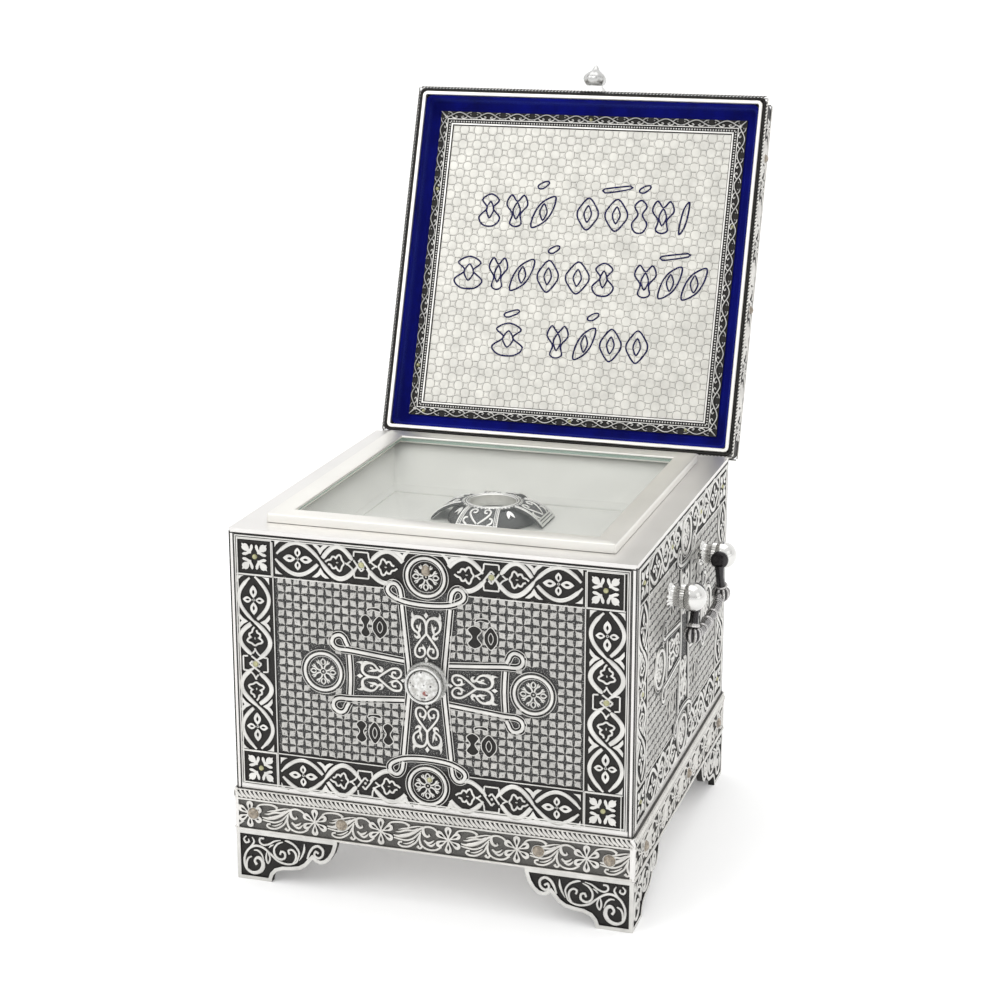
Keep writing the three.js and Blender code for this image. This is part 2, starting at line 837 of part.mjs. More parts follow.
// The lid's leaf lies on the back wall of the shut lid and carries the middle knuckle.
function makeLidLeaf() {
  const half = KNUCKLE_MIDDLE / 2;
  const back = HALF + 1.1 + GAP;
  const top = DECK + LEAF_HEIGHT;
  const strap = box([-half, back, PIVOT_Z], [half, back + LEAF, top]);
  const web = box([-half, back, PIVOT_Z - 1], [half, PIVOT_Y + 2, PIVOT_Z + 3.4]);
  const barrel = knuckle(-half, half);
  const bored = pin(-half - 1, half + 1, PIN_RADIUS + PIN_CLEARANCE);
  return join([strap, web, barrel]).subtract(bored);
}

// ---------------------------------------------------------------- assembly

const root = new THREE.Group();

function piece(name, body, material, parent) {
  const mesh = new THREE.Mesh(geometryOf(body), material);
  mesh.name = name;
  parent.add(mesh);
  return mesh;
}

// A group whose u, v, w axes lie in the plane of one side: 0 front, 1 right, 2 back, 3 left.
function sidePlane(side, w, v) {
  const spin = new THREE.Group();
  spin.rotation.z = (side * Math.PI) / 2;
  const plane = new THREE.Group();
  plane.rotation.x = Math.PI / 2;
  plane.position.set(0, -w, v);
  spin.add(plane);
  root.add(spin);
  return plane;
}

function addCase() {
  piece("case", makeCase(), silver, root);
  piece("inner_tray", makeTray(), lining, root);
  piece("glazed_frame", makeGlazedFrame(), silver, root);
  piece("glass_pane", makeGlass(), glass, root);
  piece("relic_cover", makeRelicCover(), blackened, root);
  piece("plinth_band", makeBand(), oxidisedSilver, root);
}

function addPanels() {
  const sheet = HALF - PANEL_RECESS + GAP;
  const carved = makePanel(false);
  const plain = makePanel(true);
  for (const [side, name] of ["front", "right", "back", "left"].entries()) {
    const body = name === "back" || name === "left" ? plain : carved;
    piece(`${name}_panel`, body, oxidisedSilver, sidePlane(side, sheet, PANEL_CENTRE));
  }
  const seat = sidePlane(0, sheet + CARVED + GAP, PANEL_CENTRE);
  piece("crystal_bezel", makeBezel(), silver, seat);
  piece("crystal", makeCrystal(), crystalGlass, seat);
}

function addFeet() {
  const foot = makeFoot();
  const names = ["front_left", "front_right", "back_right", "back_left"];
  for (const [corner, name] of names.entries()) {
    const mesh = piece(`foot_${name}`, foot, oxidisedSilver, root);
    mesh.rotation.z = (corner * Math.PI) / 2;
  }
}

function addHandles() {
  const bail = makeBail();
  const seat = HALF - PANEL_RECESS + GAP + CARVED + GAP;
  for (const [side, name] of [[0, "right"], [1, "left"]]) {
    const flank = new THREE.Group();
    flank.rotation.z = side * Math.PI;
    flank.position.z = POST_HEIGHT;
    root.add(flank);
    for (const end of [-1, 1]) {
      const where = end * (side === 0 ? 1 : -1) < 0 ? "front" : "back";
      const post = piece(`post_${name}_${where}`, makePost(-end), silver, flank);
      post.position.set(seat, end * POST_OFFSET, 0);
    }
    const hung = piece(`bail_${name}`, bail, blackened, flank);
    hung.position.set(seat + PIVOT_OUT, 0, 0);
  }
}

function addLid() {
  const turn = new THREE.Group();
  turn.position.set(0, PIVOT_Y, PIVOT_Z);
  turn.rotation.x = THREE.MathUtils.degToRad(-LID_OPEN);
  const shut = new THREE.Group();
  shut.position.set(0, -PIVOT_Y, -PIVOT_Z);
  turn.add(shut);
  root.add(turn);
  piece("lid_shell", makeLidShell(), oxidisedSilver, shut);
  piece("lid_rim", makeLidRim(), silver, shut);
  piece("velvet_lining", makeVelvet(), velvet, shut);
  piece("scroll_frame", makeScrollFrame(), oxidisedSilver, shut);
  piece("lid_plate", makeLidPlate(), silver, shut);
  piece("lid_knob", makeKnob(), silver, shut);
  return shut;
}

function addHinges(shut) {
  const bodyLeaf = makeBodyLeaf();
  const lidLeaf = makeLidLeaf();
  for (const [side, name] of [[-1, "left"], [1, "right"]]) {
    piece(`hinge_leaf_${name}`, bodyLeaf, silver, root).position.x = side * HINGE_CENTRE;
    piece(`lid_leaf_${name}`, lidLeaf, silver, shut).position.x = side * HINGE_CENTRE;
  }
}

addCase();
addPanels();
addFeet();
addHandles();
addHinges(addLid());

// The origin is the middle of the bounding box's underside.
root.updateMatrixWorld(true);
const bounds = new THREE.Box3().setFromObject(root, true);
const centre = bounds.getCenter(new THREE.Vector3());
const casket = new THREE.Group();
root.position.set(-centre.x, -centre.y, -bounds.min.z);
casket.add(root);

export default casket;
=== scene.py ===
"""Reliquary casket: silver relief work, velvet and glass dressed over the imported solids.

Lengths are metres in the frame, and millimetres inside the ornament that is drawn in a plane.
"""
import json
import math
import random

import bpy
from mathutils import Matrix, Vector


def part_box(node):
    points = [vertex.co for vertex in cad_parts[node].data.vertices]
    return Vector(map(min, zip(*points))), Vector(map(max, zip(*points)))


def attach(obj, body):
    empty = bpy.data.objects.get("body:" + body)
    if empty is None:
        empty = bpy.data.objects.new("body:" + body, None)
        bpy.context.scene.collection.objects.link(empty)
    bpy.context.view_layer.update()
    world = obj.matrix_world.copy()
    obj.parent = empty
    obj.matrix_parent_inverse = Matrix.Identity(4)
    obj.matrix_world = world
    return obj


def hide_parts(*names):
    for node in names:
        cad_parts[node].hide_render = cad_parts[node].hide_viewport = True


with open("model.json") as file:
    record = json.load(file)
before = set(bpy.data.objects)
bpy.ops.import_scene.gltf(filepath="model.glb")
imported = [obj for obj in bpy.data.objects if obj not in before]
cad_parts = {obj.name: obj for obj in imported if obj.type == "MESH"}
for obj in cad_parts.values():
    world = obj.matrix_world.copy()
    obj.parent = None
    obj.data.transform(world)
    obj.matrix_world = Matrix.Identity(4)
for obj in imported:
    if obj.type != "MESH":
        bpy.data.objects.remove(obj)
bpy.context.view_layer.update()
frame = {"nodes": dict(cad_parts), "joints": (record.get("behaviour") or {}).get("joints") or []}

MM = 0.001
PI = math.pi
scene = bpy.context.scene
nodes = frame["nodes"]

case_low, case_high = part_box("case")
MIDDLE_Y = (case_low.y + case_high.y) / 2
HALF = case_high.x
DECK = case_high.z
FOOT_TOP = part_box("foot_front_left")[1].z
BAND_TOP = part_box("plinth_band")[1].z + 0.3 * MM
LID_JOINT = next(j for j in frame["joints"] if j["name"] == "lid_hinge")
PIVOT = Vector(LID_JOINT["pos_m"])
LID_OPEN = math.radians(LID_JOINT["range_deg"][1])
UP = Vector((0, 0, 1))
SIDES = ("front", "right", "back", "left")


# ------------------------------------------------------------------ materials


def feed(tree, socket, value):
    """Links a value that is another node's output, and sets any other."""
    if isinstance(value, bpy.types.NodeSocket):
        tree.links.new(value, socket)
    else:
        socket.default_value = value


def node(tree, kind, inputs=None, **settings):
    made = tree.nodes.new(kind)
    for key, value in settings.items():
        setattr(made, key, value)
    for key, value in (inputs or {}).items():
        feed(tree, made.inputs[key], value)
    return made


def new_tree(name):
    material = bpy.data.materials.new(name)
    material.use_nodes = True
    material.node_tree.nodes.clear()
    return material, material.node_tree


def shaded(material, inputs, height=None, strength=0.0, distance=0.0):
    """The material with its Principled shader fed, and with a bump where a height is given."""
    tree = material.node_tree
    shader = node(tree, "ShaderNodeBsdfPrincipled", inputs)
    if height is not None:
        bump = node(tree, "ShaderNodeBump", {"Strength": strength, "Distance": distance, "Height": height})
        tree.links.new(bump.outputs["Normal"], shader.inputs["Normal"])
    node(tree, "ShaderNodeOutputMaterial", {"Surface": shader.outputs["BSDF"]})
    return material


def coordinates(tree, scale=(1, 1, 1)):
    place = node(tree, "ShaderNodeTexCoord")
    return node(tree, "ShaderNodeMapping", {"Scale": scale, "Vector": place.outputs["Object"]}).outputs["Vector"]


def noise(tree, vector, scale, detail=3.0, roughness=0.5):
    return node(tree, "ShaderNodeTexNoise",
                {"Vector": vector, "Scale": scale, "Detail": detail, "Roughness": roughness}).outputs["Fac"]


def ramp(tree, factor, stops):
    """Colours or greys at [position, colour] stops."""
    made = node(tree, "ShaderNodeValToRGB", {"Fac": factor})
    elements = made.color_ramp.elements
    while len(elements) < len(stops):
        elements.new(0.5)
    for element, (position, color) in zip(elements, stops):
        element.position = position
        element.color = (*(color if isinstance(color, tuple) else (color,) * 3), 1)
    return made.outputs["Color"]


def dimmed(color, share):
    return tuple(c * share for c in color)


def span(tree, factor, low, high, start=0.0, end=1.0):
    return node(tree, "ShaderNodeMapRange", {"Value": factor, "From Min": start, "From Max": end,
                                             "To Min": low, "To Max": high}).outputs["Result"]


def blend_colors(tree, factor, a, b):
    a, b = ((*value, 1) if isinstance(value, tuple) else value for value in (a, b))
    return node(tree, "ShaderNodeMix", {0: factor, 6: a, 7: b}, data_type="RGBA").outputs[2]


def math_node(tree, operation, a, b):
    return node(tree, "ShaderNodeMath", {0: a, 1: b}, operation=operation).outputs[0]


def lift_of(tree):
    return node(tree, "ShaderNodeAttribute", attribute_name="lift").outputs["Fac"]


def carved_silver(name, top, ground, top_rough=0.3, grain=2600, bump=0.25, middle=0.1, speckle=0.3):
    """Chased silver: bright where `lift` is 1, black with oxide where it is 0 and grey at 0.3."""
    material, tree = new_tree(name)
    vector, lift = coordinates(tree), lift_of(tree)
    fine = noise(tree, vector, grain, 4, 0.6)
    broad = noise(tree, vector, 90)
    crest_share = math_node(tree, "ADD", lift, math_node(tree, "MULTIPLY", fine, speckle))
    crest_share = math_node(tree, "SUBTRACT", crest_share, speckle / 2)
    bright = ramp(tree, broad, [(0.3, dimmed(top, 0.8)), (0.7, top)])
    dark = ramp(tree, fine, [(0.3, dimmed(ground, 0.55)), (0.72, ground)])
    grey = ramp(tree, fine, [(0.3, middle * 0.6), (0.7, middle * 1.25)])
    dark = blend_colors(tree, span(tree, lift, 0, 1, 0.05, 0.28), dark, grey)
    factor = span(tree, crest_share, 0, 1, 0.42, 0.8)
    rough = math_node(tree, "ADD", span(tree, factor, 0.62, top_rough), span(tree, fine, -0.06, 0.08))
    color = blend_colors(tree, factor, dark, bright)
    return shaded(material, {"Base Color": color, "Roughness": rough, "Metallic": 1.0}, fine, bump, 0.0003)


def polished_silver(name, color, rough, dull=0.08):
    """Polished sheet with fine wipe marks and a few dull patches."""
    material, tree = new_tree(name)
    broad = noise(tree, coordinates(tree), 22)
    fine = noise(tree, coordinates(tree, (1, 1, 6)), 700, 3, 0.6)
    tint = ramp(tree, broad, [(0.25, dimmed(color, 0.93)), (0.75, color)])
    rough = math_node(tree, "ADD", span(tree, broad, rough, rough + dull), span(tree, fine, -0.02, 0.05))
    return shaded(material, {"Base Color": tint, "Roughness": rough, "Metallic": 1.0}, fine, 0.05, 0.0001)


def velvet_cloth(name, color, deep):
    material, tree = new_tree(name)
    pile = noise(tree, coordinates(tree), 5200, 3, 0.7)
    brushed = noise(tree, coordinates(tree, (1, 1, 0.45)), 46, 4, 0.6)
    mixed = math_node(tree, "ADD", math_node(tree, "MULTIPLY", pile, 0.35),
                      math_node(tree, "MULTIPLY", brushed, 0.65))
    tone = ramp(tree, mixed, [(0.32, deep), (0.62, color)])
    return shaded(material, {"Base Color": tone, "Roughness": 0.95, "Specular IOR Level": 0.15, "Sheen Weight": 0.55,
                             "Sheen Roughness": 0.35, "Sheen Tint": (0.12, 0.2, 1.0, 1)}, pile, 0.5, 0.0004)


def satin_cloth(name, color):
    material, tree = new_tree(name)
    vector = coordinates(tree)
    weave = node(tree, "ShaderNodeTexWave", {"Vector": vector, "Scale": 900, "Distortion": 1.5, "Detail": 2})
    tone = ramp(tree, noise(tree, vector, 30), [(0.3, dimmed(color, 0.9)), (0.7, color)])
    return shaded(material, {"Base Color": tone, "Roughness": 0.55, "Sheen Weight": 0.25},
                  weave.outputs["Fac"], 0.12, 0.0002)


def clouded(name, color, dark, scale, stops, detail=3.0, **inputs):
    """A plain finish whose colour is clouded between two tones."""
    material, tree = new_tree(name)
    cloud = noise(tree, coordinates(tree), scale, detail, 0.6 if detail > 3 else 0.5)
    values = {"Base Color": ramp(tree, cloud, list(zip(stops, (dark, color))))}
    return shaded(material, values | {key.replace("_", " "): value for key, value in inputs.items()})


def clear_glass(name, color, alpha):
    paler = tuple(min(1, c * 1.03) for c in color)
    return clouded(name, paler, color, 12, (0.3, 0.7), 2, Roughness=0.02, Alpha=alpha, Specular_IOR_Level=0.6)


def stone(name, color, vein):
    """A small polished stone with cloudy colour."""
    return clouded(name, color, vein, 400, (0.35, 0.65), 4, Roughness=0.12, Coat_Weight=0.6)


def enamel(name, color):
    return clouded(name, color, dimmed(color, 0.6), 300, (0.3, 0.7), Roughness=0.5, Specular_IOR_Level=0.25)


def crystal_stone(name):
    """Rock crystal: its cloudy grey-white is partly milky stone and partly painted reflection; its dark flecks and warm
    red spot are painted reflections.
    """
    material, tree = new_tree(name)
    vector = coordinates(tree)
    base = ramp(tree, noise(tree, vector, 260, 4, 0.6), [(0.35, (0.42, 0.41, 0.38)), (0.62, (0.88, 0.88, 0.86))])
    # dark flecks scattered over the stone: painted reflections
    cells = node(tree, "ShaderNodeTexVoronoi", {"Vector": vector, "Scale": 330, "Randomness": 1.0})
    reflected_flecks = ramp(tree, cells.outputs["Distance"], [(0.22, 1.0), (0.3, 0.0)])
    sparse = ramp(tree, noise(tree, vector, 190, 1), [(0.44, 0), (0.5, 1)])
    tone = blend_colors(tree, math_node(tree, "MULTIPLY", reflected_flecks, sparse), base, (0.05, 0.045, 0.05))
    # a warm red spot low on the stone: painted reflection
    low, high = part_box("crystal")
    reflection_spot = ((low.x + high.x) / 2 + 1.6 * MM, low.y, (low.z + high.z) / 2 - 4.6 * MM)
    away = node(tree, "ShaderNodeVectorMath", {0: vector, 1: reflection_spot}, operation="DISTANCE").outputs["Value"]
    warm_reflection = ramp(tree, math_node(tree, "MULTIPLY", away, 300), [(0.42, 1.0), (0.75, 0.0)])
    reflection_patch = ramp(tree, noise(tree, vector, 520, 2, 0.6), [(0.42, 0), (0.5, 1)])
    tone = blend_colors(tree, math_node(tree, "MULTIPLY", warm_reflection, reflection_patch), tone, (0.26, 0.05, 0.035))
    return shaded(material, {"Base Color": tone, "Roughness": 0.06, "Coat Weight": 1.0, "Transmission Weight": 0.12})


def blackened_metal(name, color, edge):
    """Blackened casting, a little brighter where `lift` is 1: these lighter crests are partly rubbed blackening and
    partly a painted highlight.
    """
    material, tree = new_tree(name)
    fine = noise(tree, coordinates(tree), 1400, 4, 0.6)
    crest_share = math_node(tree, "MULTIPLY", lift_of(tree), span(tree, fine, 0.45, 1.0, 0.35, 0.65))
    return shaded(material, {"Base Color": blend_colors(tree, crest_share, color, edge), "Metallic": 0.85,
                             "Roughness": span(tree, fine, 0.12, 0.3), "Coat Weight": 0.25, "Coat Roughness": 0.12},
                  fine, 0.08, 0.0002)


def floor_material():
    material, tree = new_tree("pale_floor")
    tone = ramp(tree, noise(tree, coordinates(tree), 1.5, 2), [(0.3, 0.93), (0.7, 0.95)])
    return shaded(material, {"Base Color": tone, "Roughness": 0.9, "Emission Color": tone, "Emission Strength": 0.16})


CARVED = carved_silver("carved_silver", (0.73, 0.72, 0.69), (0.06, 0.058, 0.056))
DIAPER = carved_silver("hammered_diaper", (0.58, 0.57, 0.545), (0.04, 0.04, 0.04), 0.42, 1250, 1.0, 0.075, 2.6)
BAND_SILVER = carved_silver("band_silver", (0.73, 0.715, 0.68), (0.19, 0.185, 0.175), 0.34)
POLISHED = polished_silver("polished_silver", (0.79, 0.775, 0.755), 0.34)
SATIN_SILVER = polished_silver("satin_silver", (0.86, 0.845, 0.80), 0.34)
BRIGHT = polished_silver("bright_silver", (0.74, 0.735, 0.715), 0.1)
KNOB_SILVER = polished_silver("knob_silver", (0.56, 0.56, 0.55), 0.2)
GRANULAR = carved_silver("granular_silver", (0.80, 0.80, 0.78), (0.16, 0.16, 0.155), 0.35, 1300, 1.0, 0.16, 1.4)
DARK_COVER = carved_silver("dark_cover", (0.88, 0.87, 0.84), (0.05, 0.05, 0.05), 0.3, 2600, 0.25, 0.12)
PLATE = carved_silver("lid_plate_silver", (0.65, 0.64, 0.595), (0.44, 0.43, 0.40), 0.42)
BLACK_METAL = blackened_metal("blackened_metal", (0.02, 0.018, 0.02), (0.72, 0.70, 0.69))
VELVET = velvet_cloth("blue_velvet", (0.002, 0.005, 0.19), (0.001, 0.001, 0.05))
SATIN = satin_cloth("pale_satin", (0.60, 0.60, 0.555))
GLASS = clear_glass("clear_glass", (0.90, 0.95, 0.93), 0.05)
GLASS_EDGE = clear_glass("glass_edge", (0.42, 0.62, 0.54), 0.55)
CRYSTAL = crystal_stone("rock_crystal")
OLIVE = stone("olive_stone", (0.52, 0.50, 0.27), (0.30, 0.30, 0.15))
SMOKY = stone("smoky_stone", (0.40, 0.34, 0.26), (0.16, 0.13, 0.10))
BLUE = enamel("blue_enamel", (0.004, 0.004, 0.07))


# ------------------------------------------------------------------ relief drawn in a plane

ROUND = [(-0.5, 0, 0), (-0.49, 0.55, 0.9), (-0.34, 0.92, 1), (0, 1, 1), (0.34, 0.92, 1), (0.49, 0.55, 0.9), (0.5, 0, 0)]
FLAT = [(-0.5, 0, 0), (-0.49, 0.7, 0.9), (-0.38, 1, 1), (0.38, 1, 1), (0.49, 0.7, 0.9), (0.5, 0, 0)]
DOUBLE = [(-0.5, 0, 0), (-0.47, 0.8, 0.8), (-0.4, 1, 1), (-0.12, 1, 1), (-0.06, 0.5, 0.3), (0.06, 0.5, 0.3),
          (0.12, 1, 1), (0.4, 1, 1), (0.47, 0.8, 0.8), (0.5, 0, 0)]
STRAP = [(-0.5, 0, 0), (-0.485, 0.7, 0.6), (-0.45, 0.8, 1), (-0.405, 0.8, 1), (-0.375, 0.15, 0), (-0.235, 0.15, 0),
         (-0.2, 0.9, 0.6), (-0.14, 1, 1), (0.14, 1, 1), (0.2, 0.9, 0.6), (0.235, 0.15, 0), (0.375, 0.15, 0),
         (0.405, 0.8, 1), (0.45, 0.8, 1), (0.485, 0.7, 0.6), (0.5, 0, 0)]


class Relief:
    """Raised work drawn in a plane: u to the right, v up and w out of the sheet, in millimetres."""

    def __init__(self):
        self.points = []
        self.faces = []
        self.slots = []

    def add(self, points, faces, slot=0):
        base = len(self.points)
        self.points.extend(points)
        self.faces.extend(tuple(base + i for i in face) for face in faces)
        self.slots.extend([slot] * len(faces))

    def stamp(self, other, place=lambda u, v, w: (u, v, w), slot=None):
        """Adds another relief with its points moved by place(u, v, w)."""
        turn = -1 if is_mirror(place) else 1
        base = len(self.points)
        self.points.extend((*place(u, v, w), lift) for u, v, w, lift in other.points)
        self.faces.extend(tuple(base + i for i in face[::turn]) for face in other.faces)
        self.slots.extend(other.slots if slot is None else [slot] * len(other.slots))

    def ribbon(self, path, width, height, base=0.0, section=ROUND, closed=False, slot=0):
        """A raised band along a path; width is one number or one for each point."""
        count = len(path)
        widths = width if isinstance(width, (list, tuple)) else [width] * count
        points = []
        for i, here in enumerate(path):
            before = path[i - 1] if i or closed else here
            after = path[(i + 1) % count] if i < count - 1 or closed else here
            a = unit(here[0] - before[0], here[1] - before[1])
            b = unit(after[0] - here[0], after[1] - here[1])
            if a is None:
                a = b
            if b is None:
                b = a
            tangent = unit(a[0] + b[0], a[1] + b[1]) or a
            miter = 1 / max(0.5, tangent[0] * b[0] + tangent[1] * b[1])
            level = base + (here[2] if len(here) > 2 else 0)
            for across, up, lift in section:
                reach = across * widths[i] * miter
                points.append((here[0] - tangent[1] * reach, here[1] + tangent[0] * reach, level + up * height, lift))
        faces = quads(count, len(section), closed, False) + ([] if closed else caps(count, len(section)))
        self.add(points, [face[::-1] for face in faces], slot)

    def dome(self, centre, radius, height, base=0.0, slot=0, sides=12, rings=3, stretch=1.0, turn=0.0):
        """A round or oval boss."""
        points = []
        for r in range(rings):
            angle = r / rings * PI / 2
            reach, up = radius * math.cos(angle), height * math.sin(angle)
            for k in range(sides):
                around = 2 * PI * k / sides
                u, v = turned(reach * stretch * math.cos(around), reach * math.sin(around), turn)
                points.append((centre[0] + u, centre[1] + v, base + up, 0.35 if r == 0 else 1.0))
        points.append((centre[0], centre[1], base + height, 1.0))
        top = (rings - 1) * sides
        faces = quads(rings, sides) + [(top + k, top + (k + 1) % sides, len(points) - 1) for k in range(sides)]
        self.add(points, faces, slot)

    def slab(self, low, high, bottom, top, slot=0, lift=0.0):
        u0, v0 = low
        u1, v1 = high
        corners = [(u0, v0), (u1, v0), (u1, v1), (u0, v1)]
        points = [(u, v, bottom, lift) for u, v in corners] + [(u, v, top, lift) for u, v in corners]
        faces = [(3, 2, 1, 0), (4, 5, 6, 7)] + [(i, (i + 1) % 4, 4 + (i + 1) % 4, 4 + i) for i in range(4)]
        self.add(points, faces, slot)

    def build(self, name, plane, materials, body, replaces=(), slot=None, sharp=38):
        """Makes the object; plane is a matrix from millimetres in the sheet to metres in the frame."""
        mesh = bpy.data.meshes.new(name)
        mesh.from_pydata([plane @ Vector(p[:3]) for p in self.points], [], self.faces)
        lift = mesh.attributes.new("lift", "FLOAT", "POINT")
        lift.data.foreach_set("value", [p[3] for p in self.points])
        for material in materials:
            mesh.materials.append(material)
        mesh.polygons.foreach_set("material_index", self.slots)
        if plane.determinant() < 0:
            mesh.flip_normals()
        return dressed(name, mesh, body, replaces, sharp)


def quads(rows, around, ring=False, closed=True):
    """Faces of a grid of points, row after row; a ring joins the last row to the first."""
    return [(i * around + k, i * around + (k + 1) % around, (i + 1) % rows * around + (k + 1) % around,
             (i + 1) % rows * around + k)
            for i in range(rows if ring else rows - 1) for k in range(around if closed else around - 1)]


def caps(rows, around):
    """Faces that close the first and the last row of such a grid."""
    return [tuple(reversed(range(around))), tuple((rows - 1) * around + k for k in range(around))]


def is_mirror(place):
    origin = Vector(place(0, 0, 0))
    return Matrix([Vector(place(*axis)) - origin for axis in ((1, 0, 0), (0, 1, 0), (0, 0, 1))]).determinant() < 0


def unit(u, v):
    length = math.hypot(u, v)
    return None if length < 1e-9 else (u / length, v / length)


def turned(u, v, angle):
    c, s = math.cos(angle), math.sin(angle)
    return u * c - v * s, u * s + v * c


def dressed(name, mesh, body, replaces=(), sharp=38):
    mesh.validate()
    mesh.polygons.foreach_set("use_smooth", [True] * len(mesh.polygons))
    mesh.update()
    mesh.set_sharp_from_angle(angle=math.radians(sharp))
    made = bpy.data.objects.new(name, mesh)
    scene.collection.objects.link(made)
    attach(made, body)
    if replaces:
        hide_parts(*replaces)
    return made


def shift(du, dv, angle=0.0, scale=1.0, mirror=False, dw=0.0, tall=1.0):
    """A placing function: mirrored in u, scaled, turned and then moved."""

    def place(u, v, w):
        x, y = turned((-u if mirror else u) * scale, v * scale * tall, angle)
        return x + du, y + dv, w + dw

    return place


def smooth(controls, step=1.2, closed=False):
    """Points along a Catmull-Rom curve through the controls, which may carry widths as a third value."""
    count = len(controls)
    out = []
    last = count if closed else count - 1
    for i in range(last):
        p = [controls[(i + k) % count] if closed else controls[min(max(i + k, 0), count - 1)] for k in (-1, 0, 1, 2)]
        length = math.hypot(p[2][0] - p[1][0], p[2][1] - p[1][1])
        pieces = max(1, round(length / step))
        for j in range(pieces):
            t = j / pieces
            out.append(tuple(
                0.5 * (2 * b + (c - a) * t + (2 * a - 5 * b + 4 * c - d) * t * t + (3 * b - a - 3 * c + d) * t ** 3)
                for a, b, c, d in zip(*p)))
    if not closed:
        out.append(tuple(controls[-1]))
    return out


def stroke(relief, controls, height, step=1.1, bold=1.0, side=1):
    """A ribbon through controls of (u, v, width), made wider by bold and mirrored in u by side -1."""
    line = smooth([(side * u, v, w * bold) for u, v, w in controls], step)
    relief.ribbon([p[:2] for p in line], [max(0.12, p[2]) for p in line], height)


def circle(centre, radius, count=48):
    angles = [2 * PI * k / count for k in range(count)]
    return [(centre[0] + radius * math.cos(a), centre[1] + radius * math.sin(a)) for a in angles]


def mirrored(half):
    """The same places on the other side of the v axis, in the order that closes the outline."""
    return [(-u, v) for u, v in reversed(half)]


def filled(outlines, height, bevel=0.25):
    """A raised shape with bevelled edges from closed outlines; an outline inside another is a hole."""
    curve = bpy.data.curves.new("outline", "CURVE")
    curve.dimensions = "2D"
    curve.fill_mode = "FRONT"
    curve.extrude = max(0.01, height / 2 - bevel)
    curve.bevel_depth = bevel
    curve.bevel_resolution = 1
    curve.offset = -bevel
    for outline in outlines:
        spline = curve.splines.new("POLY")
        spline.points.add(len(outline) - 1)
        for point, (u, v) in zip(spline.points, outline):
            point.co = (u, v, 0, 1)
        spline.use_cyclic_u = True
    holder = bpy.data.objects.new("outline", curve)
    mesh = bpy.data.meshes.new_from_object(holder)
    relief = Relief()
    half = curve.extrude + bevel
    points = [(v.co.x, v.co.y, v.co.z + half, 1.0 if v.co.z > half - bevel * 0.75 else 0.0) for v in mesh.vertices]
    relief.add(points, [tuple(p.vertices) for p in mesh.polygons])
    bpy.data.objects.remove(holder)
    bpy.data.curves.remove(curve)
    bpy.data.meshes.remove(mesh)
    return relief


def leaf_outline(start, length, width, angle, blunt=0.5, count=7):
    """A pointed leaf from its foot outwards; blunt moves its widest place towards the foot."""
    right, left = [], []
    for k in range(count + 1):
        t = k / count
        side = width / 2 * math.sin(PI * t ** (1 / (0.6 + blunt))) ** 0.9 if 0 < t < 1 else 0
        right.append((length * t, -side))
        left.append((length * t, side))
    outline = right + left[-2:0:-1]
    return [tuple(a + b for a, b in zip(turned(u, v, angle), start)) for u, v in outline]


def club_outline(start, length, width, angle):
    """A petal with a narrow foot and a round end."""
    shape = ((0, 0.22), (0.18, 0.34), (0.36, 0.56), (0.54, 0.84), (0.7, 1), (0.84, 0.92), (0.93, 0.66), (0.985, 0.3))
    right = [(length * t, -width / 2 * side) for t, side in shape]
    outline = right + [(length, 0)] + [(u, -v) for u, v in reversed(right)]
    return [tuple(a + b for a, b in zip(turned(u, v, angle), start)) for u, v in outline]


# ------------------------------------------------------------------ motifs


def almond_flower():
    """Four slit petals, the long ones along u."""
    relief = Relief()
    for k in range(4):
        angle = k * PI / 2
        length, width, slit_from, slit_to = (7.9, 4.6, 2.8, 5.8) if k % 2 else (10.6, 5.4, 4.0, 7.4)
        outline = leaf_outline(turned(1.3, 0, angle), length - 1.3, width, angle, 0.42)
        slit = leaf_outline(turned(slit_from, 0, angle), slit_to - slit_from, width * 0.3, angle, 0.5, 4)
        relief.stamp(filled([outline, slit], 0.9, 0.22))
    relief.ribbon(circle((0, 0), 0.75, 10), 0.5, 0.6, closed=True)
    return relief


def ivy_leaf():
    """An outlined leaf whose tip points along +u, with its stem's two legs at the foot."""
    relief = Relief()
    half = [(9.6, 0), (7.6, 1.5), (5.8, 1.9), (4.7, 3.9), (2.9, 3.9), (2.1, 3), (0.9, 4.9), (-0.3, 5.6),
            (-1.5, 4.5), (-2.1, 2.3), (-3.3, 0.75)]
    outline = half + [(u, -v) for u, v in reversed(half[1:])]
    relief.ribbon(smooth(outline, 1.0), 1.6, 0.9)
    relief.dome((1.4, 0), 0.55, 0.8, stretch=2.0, sides=8)
    return relief


def notch_sprig():
    """A three-pointed sprig with its tip at the origin pointing along -v, and its ears at the top."""
    half = [(0, 0), (2.2, 3.6), (6.3, 7.2), (3.2, 7.4), (1.2, 6.2), (0, 4.9)]
    return filled([half + mirrored(half[1:-1])], 0.9)


def corner_sprig():
    """A leaf in a corner at the origin, spreading along +u and -v."""
    return filled([[(0.3, -0.3), (5.8, -0.2), (3.4, -1.6), (1.4, -3.4), (0.3, -5.6)]], 0.9)


